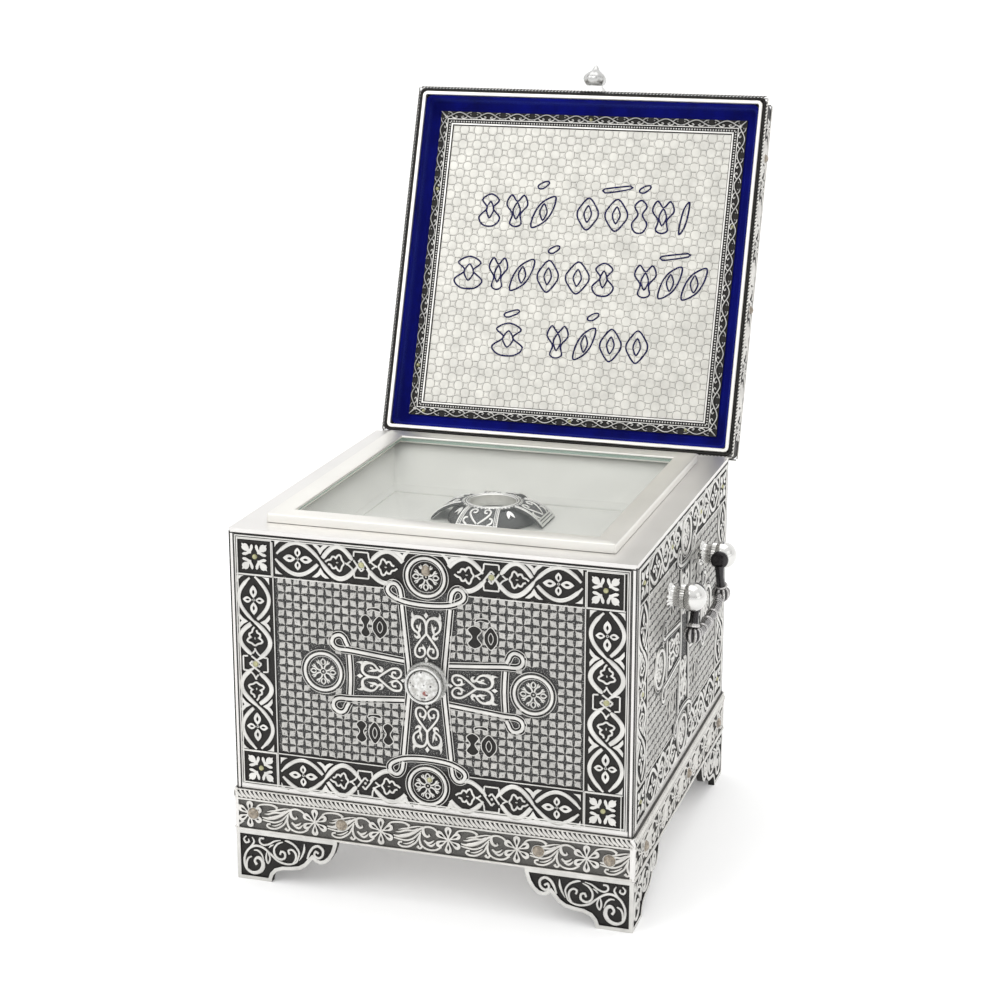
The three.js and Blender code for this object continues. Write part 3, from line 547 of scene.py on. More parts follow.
def strap_knot(with_stone):
    """The knot between two ivy leaves: two brackets and two bands that cross round a diamond."""
    relief = Relief()
    bracket = [(-11.2, -0.3, 1.2), (-9.6, 0.5, 1.1), (-7.2, 2.2, 1.1), (-5.4, 5, 1.1), (-5, 8.8, 1.1)]
    down = [(-5.0, 8.9, 1.1), (5.0, 8.9, 1.1)]
    back = [(5.0, 8.9, 1.1), (5.3, 5.4, 1.1)]
    band = [(-5.4, -2.9, 1.2), (-2.9, 0.6, 1.2), (-0.1, 4.3, 1.2)]
    fold = [(-0.1, 4.3, 1.2), (2.0, 2.2, 1.1)]
    leg = [(-10.6, 0.6, 1.1), (-7.4, -2.0, 1.1)]
    for sign in (1, -1):
        for controls in (bracket, down, back, band, fold, leg):
            stroke(relief, [(u, sign * v, w) for u, v, w in controls], 0.9, bold=1.3, side=sign)
    if with_stone:
        relief.dome((0, 0), 2.2, 1.9, slot=1, sides=14, rings=4)
        relief.ribbon(circle((0, 0), 2.3, 14), 0.5, 1.0, closed=True)
    else:
        relief.dome((0, 0), 1.1, 0.9, sides=10)
    return relief


def oval_sides(relief, start, end, crest, begin_taper, end_taper, width, side, cut_start=0.0, cut_end=0.0):
    """One side of an oval between two places on the axis, as half a wave of the interlace."""
    count = 16
    line, widths = [], []
    for k in range(count + 1):
        t = cut_start + (1 - cut_start - cut_end) * k / count
        u = start + (end - start) * t
        line.append((u, side * crest * math.sin(PI * t) ** 0.92))
        fade = min(1.0, 0.62 + 1.1 * math.sin(PI * t))
        if t < 0.12:
            fade *= begin_taper
        if t > 0.88:
            fade *= end_taper
        widths.append(width * fade)
    relief.ribbon(line, widths, 0.95)


def border_unit(ivy, crossing, flower, end, crest=11.0):
    """From the knot at u = 0 to the end of the row: ivy oval, crossing and almond-flower oval."""
    relief = Relief()
    knot_edge = 4.2
    leaf = ivy_leaf()
    relief.stamp(leaf, shift(ivy - 0.6, 0))
    oval_sides(relief, knot_edge + 0.4, crossing, crest, 0.7, 1.0, 3.2, 1, 0.07, 0.06)
    oval_sides(relief, knot_edge - 2.2, crossing, crest, 0.7, 1.0, 3.2, -1, 0.02, 0.0)
    relief.stamp(almond_flower(), shift(flower, 0))
    oval_sides(relief, crossing, end + 0.8, crest, 1.0, 0.8, 2.7, 1, 0.0, 0.06)
    oval_sides(relief, crossing, end + 0.8, crest, 1.0, 0.8, 2.7, -1, 0.06, 0.03)
    for side in (1, -1):
        angle = 0 if side > 0 else PI
        relief.stamp(notch_sprig(), shift(crossing, side * 4.3, angle))
        relief.stamp(corner_sprig(), shift(end + 0.4, side * 12.0, 0, mirror=True, tall=side))
    return relief


def corner_star():
    """Four three-lobed leaves on the diagonals round a small stone."""
    relief = Relief()
    half = [(2.5, 2.5), (4.1, 2.3), (5.4, 1.5), (7.2, 0.75), (9, 0.9), (9.9, 1.9), (8.6, 3.1), (6.6, 3.5), (5.6, 4),
            (7.6, 4.3), (9.5, 5.4), (10.2, 7.2), (9.7, 8.3), (10.2, 10.2)]
    leaf = filled([half + [(v, u) for u, v in half[-2:0:-1]]], 0.9)
    for k in range(4):
        relief.stamp(leaf, shift(0, 0, k * PI / 2))
    relief.dome((0, 0), 2.0, 1.6, slot=1, sides=14, rings=4)
    return relief


def fleur_wheel():
    """Eight arms: four outlined trefoils whose side tips meet on the diagonals."""
    relief = Relief()
    trefoil = ([(1.9, 0.7, 0.9), (3.6, 1.1, 1), (5.2, 2.3, 1), (6.1, 4.1, 0.9), (7.2, 4.6, 0.5)],
               [(4.9, 0.2, 0.5), (6.2, 1.5, 0.9), (7.4, 1.5, 0.9), (9.1, 0.1, 0.6)],
               [(5.6, 2.9, 0.6), (7.0, 3.0, 0.9), (8.0, 3.6, 0.5)])
    part = Relief()
    for side in (1, -1):
        for controls in trefoil:
            # the tips of the two sides end at one point
            controls = [(u, v * side if v > 0.1 else v, w) for u, v, w in controls]
            stroke(part, controls, 0.8, step=0.9, bold=1.4)
    for arm in range(4):
        relief.stamp(part, shift(0, 0, arm * PI / 2))
    relief.ribbon(circle((0, 0), 2.1, 16), 0.7, 0.7, closed=True)
    relief.dome((0, 0), 0.8, 1.0, sides=10)
    return relief


def medallion():
    relief = Relief()
    relief.ribbon(circle((0, 0), 15.5, 56), 0.65, 1.0, closed=True)
    relief.ribbon(circle((0, 0), 12.9, 56), 2.3, 1.35, closed=True, section=FLAT)
    relief.ribbon(circle((0, 0), 10.6, 48), 0.4, 0.25, closed=True)
    relief.stamp(fleur_wheel())
    return relief


def arm_filling():
    """The scrolls in one arm of the cross: winged end at +v, heart at the foot. Heights from the centre."""
    relief = Relief()
    scrolls = (
        (1, [(0.2, 34.2, 1.6), (2.6, 31.2, 1.6), (5.5, 27.4, 1.55), (7.4, 24.2, 1.6), (7.9, 21.4, 1.65),
               (7.3, 18.9, 1.6), (5.4, 17.7, 1.5), (3.2, 18, 1.5), (1.5, 19.5, 1.4), (0.7, 21.4, 1.5)]),
        (0.9, [(0.8, 21, 1.4), (1.3, 23.4, 1.6), (1.9, 25, 1.3), (2.7, 26.8, 0.2)]),
        (0.9, [(1, 22.6, 1.1), (3, 24.4, 1.3), (4.9, 23.6, 1.4), (4.9, 22, 1.6), (4.1, 21.6, 1.2)]),
        (1.05, [(0.1, 34, 1.7), (0.1, 38, 1.5), (0.4, 41.2, 1.6), (1.7, 44, 1.7), (3.8, 45.3, 1.9),
               (6.4, 45.3, 2.2), (8.8, 44, 2.6), (9.6, 41.4, 2), (9.7, 38.8, 1.6), (8.6, 36.4, 1.5),
               (6.7, 34.9, 1.5), (5.2, 33.6, 1.7), (5, 31.9, 2.1), (6.2, 31.2, 2), (7.7, 32, 1.3),
               (8.4, 33.4, 0.2)]),
        (1, [(7.6, 44.4, 2.6), (9.4, 45.9, 2.2), (9.7, 47.4, 1.2), (9.3, 49.2, 0.2)]),
        (0.9, [(5.4, 34.4, 1.2), (4.6, 36.8, 1.8), (4.3, 39.2, 1.4), (3.6, 41.8, 0.2)]),
        (0.9, [(4.6, 37.2, 1), (6.2, 38.2, 1.2), (6.4, 39.8, 1.5)]))
    for side in (1, -1):
        for height, controls in scrolls:
            stroke(relief, controls, height, bold=1.18, side=side)
    relief.stamp(filled([[(0, 44.6), (1.7, 47), (0, 49.4), (-1.7, 47)]], 1, 0.3))
    relief.stamp(filled([[(0, 18.4), (1.5, 16.4), (0, 14.9), (-1.5, 16.4)]], 1, 0.3))
    return relief


CELL = 5.72


def diaper(half_u, half_v):
    """Pillowed squares whose sharp corners meet in crosses, left out over the cross."""
    half_ring = [(1, 1), (0.8, 0.52), (0.74, -0.1), (0.67, -0.67), (-0.1, -0.74), (-0.52, -0.8)]
    ring = [(a * CELL / 2, b * CELL / 2) for a, b in half_ring + [(-a, -b) for a, b in half_ring]]
    count = len(ring)
    rising = Relief()
    points = [(a * inset, b * inset, level, lift) for inset, level, lift in ((1, 0, 0.5), (0.9, 0.48, 1))
              for a, b in ring]
    faces = [face[::-1] for face in quads(2, count)]
    faces += [(count + (k + 1) % count, count + k, 2 * count) for k in range(count)]
    rising.add(points + [(0, 0, 0.64, 0.95)], faces)
    relief = Relief()
    across, up = int(half_u / CELL), int(half_v / CELL)
    for i in range(-across, across + 1):
        for j in range(-up, up):
            u, v = i * CELL, (j + 0.5) * CELL
            if not inside_cross(u, v):
                relief.stamp(rising, shift(u, v, mirror=(i + j) % 2 == 1))
    return relief


def no_letter_group(widths, height):
    """Dark spindles and almonds with bright outlines, standing where an inscription would."""
    relief = Relief()
    gap = 1.2
    u = -(sum(widths) + gap * (len(widths) - 1)) / 2

    def plate(controls):
        line = smooth(controls, 1.0, True)
        body = filled([line], 0.8, 0.2)
        body.points = [(*p[:3], 0.0) for p in body.points]
        relief.stamp(body)
        relief.ribbon(line, 0.75, 1.05, closed=True)

    for k, width in enumerate(widths):
        centre, w, h = u + width / 2, width / 2, height / 2
        wide, waist, level = (0.85, 1.0, 0.45) if k % 2 else (0.9, 0.35, 0.62)
        half = [(0, h), (w * wide, h * level), (w * waist, 0), (w * wide, -h * level)]
        outline = half + [(-a, -b) for a, b in half]
        plate([(centre + a, b) for a, b in outline])
        if k % 2:
            inner = smooth([(centre + a * 0.36, b * 0.5) for a, b in outline], 1.0, True)
            relief.ribbon(inner, 0.6, 0.5, base=0.6, closed=True)
        u += width + gap
    bar = ((-4.4, -0.9), (-1.4, 0.5), (4.4, -0.4), (4.4, 1.6), (1.4, 2.4), (-4.4, 1.4))
    plate([(a, height / 2 + 3.2 + b) for a, b in bar])
    return relief


# ------------------------------------------------------------------ the side panels


def cross_relief():
    """Strapwork cross, medallions and arm fillings, round the panel's centre."""
    relief = Relief()

    def strap(path, height, turn=0.0):
        part = Relief()
        part.ribbon(path, 5.6, height, section=STRAP)
        relief.stamp(part, shift(0, 0, turn))

    bar = [(-16.9, 57.4), (-17.3, 60.2), (-18, 63.6), (-20, 66.4), (-22.4, 67.2), (-25, 66.1),
           (-26.6, 62.9), (-25.4, 59.9), (-21.5, 57.4), (-15.5, 55.3), (-8, 54.3), (0, 54)]
    half = [(-54.9, 19.9), (-56.4, 22.6), (-57.6, 25.4), (-59.8, 27.2), (-62.2, 27.2), (-65.2, 25.6),
            (-66.4, 22.4), (-65.2, 19.2), (-61.6, 17.4), (-56, 17.3), (-50, 16.9), (-33, 15.3), (-15.4, 13.7)]
    for turn in (0, PI):
        strap(smooth(bar + mirrored(bar[:-1]), 1.6), 1.45, turn)
        strap(smooth(half, 1.6), 1.3, turn)
        strap(smooth([(u, -v) for u, v in reversed(half)], 1.6), 1.3, turn)
        strap([(-54.3, 14.2), (-53.8, 7), (-53.6, 0), (-53.8, -7), (-54.3, -14.2)], 1.15, turn)
    flank = [(16.7, 52.8), (14.6, 31.0), (12.5, 10.0)]
    for side in (1, -1):
        strap([(side * u, v) for u, v in flank + [(12.1, 0)] + [(u, -v) for u, v in reversed(flank)]], 1.35)
    filling, disc = arm_filling(), medallion()
    for k in range(4):
        relief.stamp(filling, shift(0, 0, k * PI / 2))
        relief.stamp(disc, shift(*turned(0, MEDALLION_AT, k * PI / 2)))
    return relief


MEDALLION_AT = 73.2
STROKE_GROUPS = ((-36.5, 35.5, (6.6, 9.4)), (38.5, 35.5, (9.4, 8.2)), (-37, -39.5, (7.2, 7.6, 7.2)),
                 (37.5, -39.5, (8.6, 9.4)))


def inside_cross(u, v):
    """True over the cross, its loops and the medallions, where the diaper is left out."""
    a, b = abs(u), abs(v)
    if b < 58 and a < 12.5 + 0.1 * b + 1.2:
        return True
    if a < 58 and b < 13.4 + 0.1 * a + 1.2:
        return True
    if math.hypot(a, b - MEDALLION_AT) < 17.5 or math.hypot(a - MEDALLION_AT, b) < 17.5:
        return True
    return math.hypot(a - 22, b - 62.5) < 7.5 or math.hypot(a - 61.5, b - 22.2) < 7.0


def border_rows(relief, half_u, half_v):
    """Rows of ovals and knots along the four borders, and the corner stars."""
    mid_u, mid_v = half_u - 13.9, half_v - 11.9
    knot_at = 44.7
    jewelled = strap_knot(True)
    plain_knot = strap_knot(False)
    row = border_unit(61 - knot_at, 73.4 - knot_at, 89.6 - knot_at, half_u - 30.3 - knot_at)
    flank = border_unit(17.3, 30.0, 45.4, half_v - 27.0)
    ivy = ivy_leaf()
    for top in (1, -1):
        line = shift(0, top * mid_v, 0 if top > 0 else PI)
        part = Relief()
        for side in (1, -1):
            mirror = side < 0
            part.stamp(row, shift(side * knot_at, 0, mirror=mirror))
            part.stamp(jewelled if top > 0 else plain_knot, shift(side * knot_at, 0, mirror=mirror))
            part.stamp(ivy, shift(side * 29.2, 0, PI, mirror=mirror))
            inner = Relief()
            oval_sides(inner, 40.4, 12.4, 11.0, 0.7, 1.0, 3.2, 1, 0.05, 0.12)
            oval_sides(inner, 42.4, 12.4, 11.0, 0.7, 1.0, 3.2, -1, 0.05, 0.34)
            part.stamp(inner, shift(0, 0, mirror=mirror))
            part.stamp(notch_sprig(), shift(side * 15.4, 5.2, -side * 0.12, scale=0.93))
        relief.stamp(part, line)
        for right in (1, -1):
            relief.stamp(corner_star(), shift(right * (half_u - 15.4), top * (half_v - 13.4), scale=0.9))
    for right in (1, -1):
        base = shift(right * mid_u, 0, PI / 2)
        part = Relief()
        part.stamp(jewelled)
        part.stamp(flank)
        part.stamp(flank, shift(0, 0, PI))
        relief.stamp(part, base)


SHEET = 2.3  # the panels' ground over the bottom of their recesses


def panel_relief(half_u, half_v, nudge=(0, 0)):
    """A side panel: frame lines, borders, cross and diaper over a dark ground."""
    relief = Relief()
    relief.slab((-half_u, -half_v), (half_u, half_v), 0, SHEET)
    work = Relief()
    inner_u, inner_v = half_u - 28.4, half_v - 26.1
    for right in (1, -1):
        for top in (1, -1):
            cu, cv = right * (half_u - 15.3), top * (half_v - 13.4)
            box = [(cu - 12.2, cv - 12.2), (cu + 12.2, cv - 12.2), (cu + 12.2, cv + 12.2), (cu - 12.2, cv + 12.2)]
            work.ribbon(box, 0.8, 1.0, closed=True, section=FLAT)
    for top in (1, -1):
        for right in (1, -1):
            work.ribbon([(right * 29.5, top * inner_v), (right * (half_u - 2), top * inner_v)], 0.9, 0.9, section=FLAT)
        work.ribbon([(top * inner_u, -half_v + 2), (top * inner_u, half_v - 2)], 0.9, 0.9, section=FLAT)
    border_rows(work, half_u, half_v)
    work.stamp(cross_relief())
    for u, v, widths in STROKE_GROUPS:
        work.stamp(no_letter_group([w * 1.12 for w in widths], 15.6), shift(u, v))
    relief.stamp(work, shift(*nudge, dw=SHEET))
    frame_u, frame_v = half_u - 1.25, half_v - 1.25
    edge = [(-frame_u, -frame_v - 0.9), (frame_u, -frame_v - 0.9), (frame_u, frame_v), (-frame_u, frame_v)]
    relief.ribbon(edge, 2.4, 1.1, base=SHEET, closed=True, section=DOUBLE)
    cells = diaper(inner_u - 1.2, inner_v)
    cells.slab((-inner_u + 0.6, -inner_v + 0.6), (inner_u - 0.6, inner_v - 0.6), -0.5, 0.06, 0, 0.3)
    relief.stamp(cells, shift(nudge[0] * 0.6, nudge[1] * 0.2, dw=SHEET), slot=2)
    return relief


def sheet_matrix(right, up, outward, origin, scale=1.0):
    """From a sheet's (u, v, w) to the space of its three axes and its origin."""
    rows = [[axis[i] * scale for axis in (right, up, outward)] + [origin[i]] for i in range(3)]
    return Matrix(rows + [[0, 0, 0, 1]])


def side_axes(side):
    """Right and outward on side 0, the front, 1, the right, 2, the back, or 3, the left."""
    angle = side * PI / 2
    return Vector((math.cos(angle), math.sin(angle), 0)), Vector((math.sin(angle), -math.cos(angle), 0))


def side_plane(side, out, height):
    """From a sheet in millimetres to the frame; out and height are metres from the middle and the floor."""
    right, outward = side_axes(side)
    return sheet_matrix(right, UP, outward, Vector((0, MIDDLE_Y, height)) + outward * out, MM)


panel_low, panel_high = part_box("front_panel")
PANEL_HALF_U = (panel_high.x - panel_low.x) / 2 / MM
PANEL_HALF_V = (panel_high.z - panel_low.z) / 2 / MM
PANEL_SHEET = MIDDLE_Y - panel_high.y
PANEL_MIDDLE = (panel_low.z + panel_high.z) / 2

FRONT_NUDGE = (-1.1, -1.5)
panel_work = panel_relief(PANEL_HALF_U, PANEL_HALF_V)
for side, name in enumerate(SIDES):
    work = panel_work if side else panel_relief(PANEL_HALF_U, PANEL_HALF_V, FRONT_NUDGE)
    work.build(f"{name}_panel_relief", side_plane(side, PANEL_SHEET, PANEL_MIDDLE), [CARVED, OLIVE, DIAPER],
               "casket", [f"{name}_panel"], "oxidised_silver")


def accent_stones():
    """The larger stones set on the medallions of the front."""
    relief = Relief()
    relief.dome((-1.2, 76.0), 3.9, 3.0, base=SHEET + 0.2, slot=1, sides=20, rings=5, stretch=0.78)
    for u, v in ((-1.2, 80.4), (-4.6, 78.6), (2.2, 78.6), (-4.4, 73.6), (2.0, 73.6)):
        relief.dome((u, v), 0.8, 1.4, base=SHEET, sides=8)
    relief.dome((0.2, -70.2), 1.9, 1.6, base=SHEET + 0.2, slot=2, sides=14, rings=4)
    relief.ribbon(circle((0.2, -70.2), 2.1, 14), 0.5, 0.9, base=SHEET, closed=True)
    return relief


accent_stones().build("medallion_stones", side_plane(0, PANEL_SHEET, PANEL_MIDDLE), [CARVED, SMOKY, OLIVE],
                      "casket", slot="oxidised_silver")


# ------------------------------------------------------------------ the band round the foot


def scroll_motif():
    """One repeat of the band, from flower centre to flower centre along +u, 47 long."""
    relief = Relief()
    scrolls = (
        [(4.6, 5, 1.2), (7.2, 8.1, 1.3), (12.3, 9.2, 1.4), (16.8, 9, 1.5), (19.6, 7.4, 1.6), (18.9, 5.8, 0.4)],
        [(8.8, -1.4, 0.8), (12.5, -2, 1.8), (17, -1, 2.2), (22.4, 1.8, 1.9), (27.6, 6, 1.6),
         (32.6, 8.3, 1.5), (36.8, 7.6, 1.4), (39.6, 5.2, 1.3)],
        [(10.4, 1.4, 0.3), (13.2, 1.6, 1.3), (15.6, 2.6, 1.4), (18.6, 3.6, 1.5), (22.6, 4, 1.2),
         (26.0, 6.2, 0.5)],
        [(12.4, 3.4, 0.3), (15.4, 4.4, 1.2), (18, 5, 1.2), (21.2, 6.2, 1.3), (25.6, 7.6, 1),
         (29.4, 8.0, 0.4)],
        [(9, -3.4, 1), (13.4, -4.2, 1.2), (18, -4.4, 1.3), (22.4, -2.4, 1.3), (25.4, 0.8, 1.2),
         (28.4, 4.6, 0.8)],
        [(14.8, -6.3, 1.4), (12.8, -6.4, 1.3), (12.2, -8.2, 1.2), (14.4, -9.6, 1.3), (18.6, -9.4, 1.4),
         (22.2, -7.2, 1.4), (24.8, -4.6, 1.2), (26.4, -1, 1.1), (27.6, 2, 0.9)],
        [(15.6, -7.2, 0.4), (18.4, -7, 1.1), (21.4, -5.4, 1.1), (23.6, -3.4, 0.5)],
        [(27.8, 3, 1), (27, -1.6, 1.3), (27.4, -5.4, 1.5), (28.6, -8, 1.4), (27.2, -9.6, 1.3),
         (25.6, -8.6, 1.5), (26.4, -7.4, 1.0)],
        [(28.8, -7.2, 1), (31, -9, 1.3), (34.6, -9.8, 1.4), (38.6, -9, 1.4), (42.2, -6.2, 1.3)],
        [(30.6, 8, 1), (29.4, 4.8, 1.8), (30.2, 1.8, 1.7), (32.2, 0.4, 1.5), (34, 1.4, 1.1),
         (33.6, 2.8, 0.3)],
        [(30.2, -2.6, 1.2), (32.4, -4.6, 1.6), (35.2, -3.6, 1.4), (37.2, -1.6, 0.3)],
        [(32, -5.2, 1), (34.8, -6.6, 1.5), (37, -5, 1.2), (38.2, -3.2, 0.3)])
    for controls in scrolls:
        stroke(relief, controls, 1.0, bold=1.32)
    return relief


def six_petals():
    relief = Relief()
    for k in range(6):
        angle = PI / 2 + k * PI / 3
        outline = club_outline(turned(0.8, 0, angle), 9.4, 5.3, angle)
        slit = leaf_outline(turned(3.4, 0, angle), 4.6, 1.5, angle, 0.2, 5)
        relief.stamp(filled([outline, slit], 1.1))
    relief.dome((0, 0), 1.9, 1.5, sides=12)
    return relief


def rope_line(relief, start, end, v, radius, pitch):
    """A twisted cord laid along u, as slanting strands."""
    count = max(1, int((end - start) / pitch))
    pitch = (end - start) / count
    for k in range(count):
        u = start + (k + 0.5) * pitch
        lean = radius * 1.05
        strand = [(u - lean * t, v + radius * t, 0.55 * radius * math.cos(t * 1.3)) for t in (-1, -0.5, 0, 0.5, 1)]
        relief.ribbon(strand, [pitch * f for f in (0.42, 0.58, 0.62, 0.58, 0.42)], 0.7, base=0.1)


def clipped(relief, low, high):
    """The part of a relief between two places along u."""
    out = Relief()
    out.points = [(min(max(u, low), high), v, w, lift) for u, v, w, lift in relief.points]
    for face, slot in zip(relief.faces, relief.slots):
        if any(low < relief.points[i][0] < high for i in face):
            out.faces.append(face)
            out.slots.append(slot)
    return out


def band_relief(half, height, start, step, stones):
    """The foot band: twisted cord over a running scroll with six-petalled flowers."""
    relief = Relief()
    top, bottom = height / 2, -height / 2
    relief.slab((-half, bottom), (half, top), -2.6, 0)
    relief.ribbon([(-half, top - 0.45), (half, top - 0.45)], 0.8, 1.2, section=FLAT)
    rope_line(relief, -half + 0.5, half - 0.5, top - 3.6, 2.6, 3.3)
    relief.ribbon([(-half, top - 7.2), (half, top - 7.2)], 1.6, 1.3, section=FLAT)
    relief.ribbon([(-half, bottom + 0.9), (half, bottom + 0.9)], 1.8, 1.5, section=FLAT)
    middle = bottom + 12.4
    tall = 20.0 / 21.6
    flower, motif = six_petals(), scroll_motif()
    line = Relief()
    u = start - step
    while u < half:
        if u > start - step / 2:
            line.stamp(flower, shift(u, middle, scale=0.96))
        line.stamp(motif, lambda a, b, w, u=u: (u + a * step / 47, middle + b * tall, w))
        u += step
    relief.stamp(clipped(line, -half + 0.6, half - 0.6))
    for u in stones:
        relief.dome((u, middle + 0.6), 4.1, 3.4, base=0.4, slot=1, sides=18, rings=5)
        relief.ribbon(circle((u, middle + 0.6), 4.3, 20), 0.7, 1.2, closed=True)
    return relief


band_low, band_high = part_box("plinth_band")
BAND_HALF = 141.0
BAND_HEIGHT = (band_high.z - band_low.z) / MM
# the first flower's place and the stones' places, on the front and back and on the flanks
band_kinds = ((-130.4, (-128, -63, 76.4, 125)), (-122.4, (-112, 17, 119)))
band_work = [band_relief(BAND_HALF - 0.6, BAND_HEIGHT, start, 48, stones) for start, stones in band_kinds]
for side, name in enumerate(SIDES):
    plane = side_plane(side, BAND_HALF * MM, (band_low.z + band_high.z) / 2)
    band_work[side % 2].build(f"{name}_band_relief", plane, [BAND_SILVER, SMOKY], "casket",
                              () if side else ["plinth_band"], "oxidised_silver")


def corner_posts(reach, low, high, radius):
    """Rounded corner strips that close the edges where two dressed sides meet."""
    relief = Relief()
    back = reach - 3.2
    for k in range(4):
        arc = [(reach - radius + radius * math.cos(j / 6 * PI / 2), reach - radius + radius * math.sin(j / 6 * PI / 2))
               for j in range(7)]
        ring = [turned(u, v, k * PI / 2) for u, v in arc + [(back, reach), (back, back), (reach, back)]]
        points = [(u, v, level, 1.0) for level in (low, high) for u, v in ring]
        relief.add(points, quads(2, len(ring)) + caps(2, len(ring)))
    return relief


# black strips (lift 0) on the case beside the panels' side and top edges: painted shade of the gaps there
shaded_gap_strips = Relief()
shaded_gap_strips.slab((-HALF / MM + 0.5, 250.4), (HALF / MM - 0.5, 251.2), -0.5, 0.12)
for sign in (1, -1):
    low, high = sorted((sign * 136.5, sign * 137.3))
    shaded_gap_strips.slab((low, BAND_TOP / MM), (high, 250.4), -0.5, 0.12)
    low, high = sorted((sign * 139.1, sign * 139.9))
    shaded_gap_strips.slab((low, BAND_TOP / MM), (high, 252.0), -0.5, 0.12)
for side, name in enumerate(SIDES):
    shaded_gap_strips.build(f"{name}_shaded_gap_lines", side_plane(side, HALF, 0), [CARVED], "casket", slot="oxidised_silver")

posts_plane = Matrix.Translation((0, MIDDLE_Y, 0)) @ Matrix.Scale(MM, 4)
corner_posts(BAND_HALF + 1.0, band_low.z / MM, band_high.z / MM, 2.6).build(
    "band_corners", posts_plane, [POLISHED], "casket", (), "silver")


# ------------------------------------------------------------------ feet

WING = [(0, 0), (0, -37), (25.4, -37), (25.7, -34.6), (26.8, -31.6), (29.4, -28.6), (34, -26.8),
        (41, -26), (47, -24.6), (51.8, -21.4), (54.8, -17.6), (56.4, -15.8), (58.2, -17.4), (61.6, -18.6),
        (65.6, -17.6), (69.4, -14.4), (72.4, -9.6), (73.6, -6), (74.7, -2.2), (74.7, 0)]


def inset_outline(outline, distance):
    """The outline moved inwards by a distance along its mitred corners; it runs anticlockwise."""
    out = []
    count = len(outline)
    for i, here in enumerate(outline):
        a = unit(here[0] - outline[i - 1][0], here[1] - outline[i - 1][1])
        nxt = outline[(i + 1) % count]
        b = unit(nxt[0] - here[0], nxt[1] - here[1])
        tangent = unit(a[0] + b[0], a[1] + b[1]) or a
        miter = 1 / max(0.6, tangent[0] * b[0] + tangent[1] * b[1])
        out.append((here[0] - tangent[1] * distance * miter, here[1] + tangent[0] * distance * miter))
    return out


def wing_relief():
    """One wing of a bracket foot: a dark sheet with a raised rim and a vine."""
    relief = Relief()
    relief.stamp(filled([WING], 3.8, 0.1), shift(0, 0, dw=-5))
    relief.points = [(*p[:3], 0.0) for p in relief.points]
    relief.stamp(filled([WING, inset_outline(WING, 2.8)], 1.5, 0.35), shift(0, 0, dw=-1.5))
    vine = (
        (1.15, [(46, -15.8, 0.6), (44.4, -19.2, 1.1), (41, -21.2, 1.3), (36, -21.9, 1.4), (30, -20.2, 1.4),
                (24.8, -15.8, 1.4), (20, -12.2, 1.5), (14.8, -11, 1.6), (9.6, -13.4, 1.6), (6.2, -18.4, 1.6),
                (5.2, -24, 1.6), (6.8, -29.4, 1.7), (11.4, -32, 1.9), (16.4, -30.4, 2.3), (19, -26, 2.4),
                (18, -21.4, 2.1), (14.9, -20, 1.9), (12.9, -22.6, 1.6), (14.4, -25.4, 1.8)]),
        (1.15, [(7.2, -29.2, 0.8), (7, -24.4, 1.4), (8.6, -20.8, 1.3), (11, -19.6, 0.9)]),
        (1.15, [(22.6, -14, 0.7), (21.6, -19.2, 1.4), (22.8, -23.2, 1), (24.6, -19.6, 1.3),
                (23.4, -15.4, 0.8)]),
        (1.15, [(12.6, -14.6, 0.6), (15.6, -14.6, 1.3), (18.4, -17.2, 1.2), (20, -21.6, 0.4)]),
        (1.15, [(34.6, -5.6, 0.7), (30.6, -7.6, 1.3), (27.8, -11.8, 1.4), (28.4, -16.6, 1.5), (32, -19, 1.6),
                (35.6, -17.4, 1.6), (35.6, -13.8, 1.5), (33, -13, 1.4), (32.2, -15.4, 1.5)]),
        (1.15, [(41.4, -21, 1), (43.8, -17.2, 1.5), (43.6, -13, 1.5), (41, -10.6, 1.4), (38.4, -11.6, 1.4),
                (39.2, -14.2, 1.3)]),
        (1.15, [(44.6, -18.8, 0.9), (46.4, -12.4, 1.3), (43.2, -7.2, 1.5), (38, -4.6, 1.6), (36, -4.6, 0.6)]),
        (1.15, [(50.4, -4.8, 0.5), (50.2, -9.2, 1.6), (48.6, -14, 1.3), (46.4, -17.8, 0.4)]),
        (1.25, [(52.4, -15.8, 1.2), (54.2, -10.8, 1.7), (57, -6.6, 1.9), (60.8, -5.2, 1.9), (64, -8, 1.8),
                (63.4, -12.2, 1.7), (60.2, -14.2, 1.6), (57.6, -12, 1.5), (58.8, -9.4, 1.5), (60.8, -10.8, 1.4)]),
        (1.15, [(7.4, -4.6, 0.8), (5.4, -7, 1.3), (6.8, -9.6, 1.3), (9.2, -8.6, 1.2), (8.6, -6.6, 0.8)]),
        (1.15, [(11.6, -5, 0.7), (13, -8, 1.3), (11, -11.4, 1.2), (7.4, -15.4, 0.6)]),
        (1.15, [(20.6, -4.9, 1.3), (17.6, -5.2, 1.5), (17.2, -8, 1.3), (20, -9.8, 1.3), (24.2, -8.6, 1.4),
                (28.4, -5.8, 1.2), (33.0, -4.6, 0.6)]),
        (1.15, [(24, -11.4, 0.5), (25.4, -9.8, 1.2), (27.6, -8.6, 0.4)]))
    work = Relief()
    for height, controls in vine:
        stroke(work, controls, height, bold=1.3)
    relief.stamp(work, shift(0, 0, dw=-1.25))
    # the end at the corner is cut to a mitre, so the two wings of a foot meet along the edge
    relief.points = [(max(u, -w), v, w, lift) for u, v, w, lift in relief.points]
    return relief


wing = wing_relief()
foot = Relief()
foot.stamp(wing, lambda u, v, w: (u, -w, v))
foot.stamp(wing, lambda u, v, w: (-w, u, v))
FOOT_REACH = 141.4
for corner, name in enumerate(("front_left", "front_right", "back_right", "back_left")):
    plane = (Matrix.Translation((0, MIDDLE_Y, FOOT_TOP)) @ Matrix.Rotation(corner * PI / 2, 4, "Z")
             @ Matrix.Scale(MM, 4) @ Matrix.Translation((-FOOT_REACH, -FOOT_REACH, 0)))
    foot.build(f"foot_{name}_relief", plane, [CARVED], "casket", [f"foot_{name}"], "oxidised_silver")


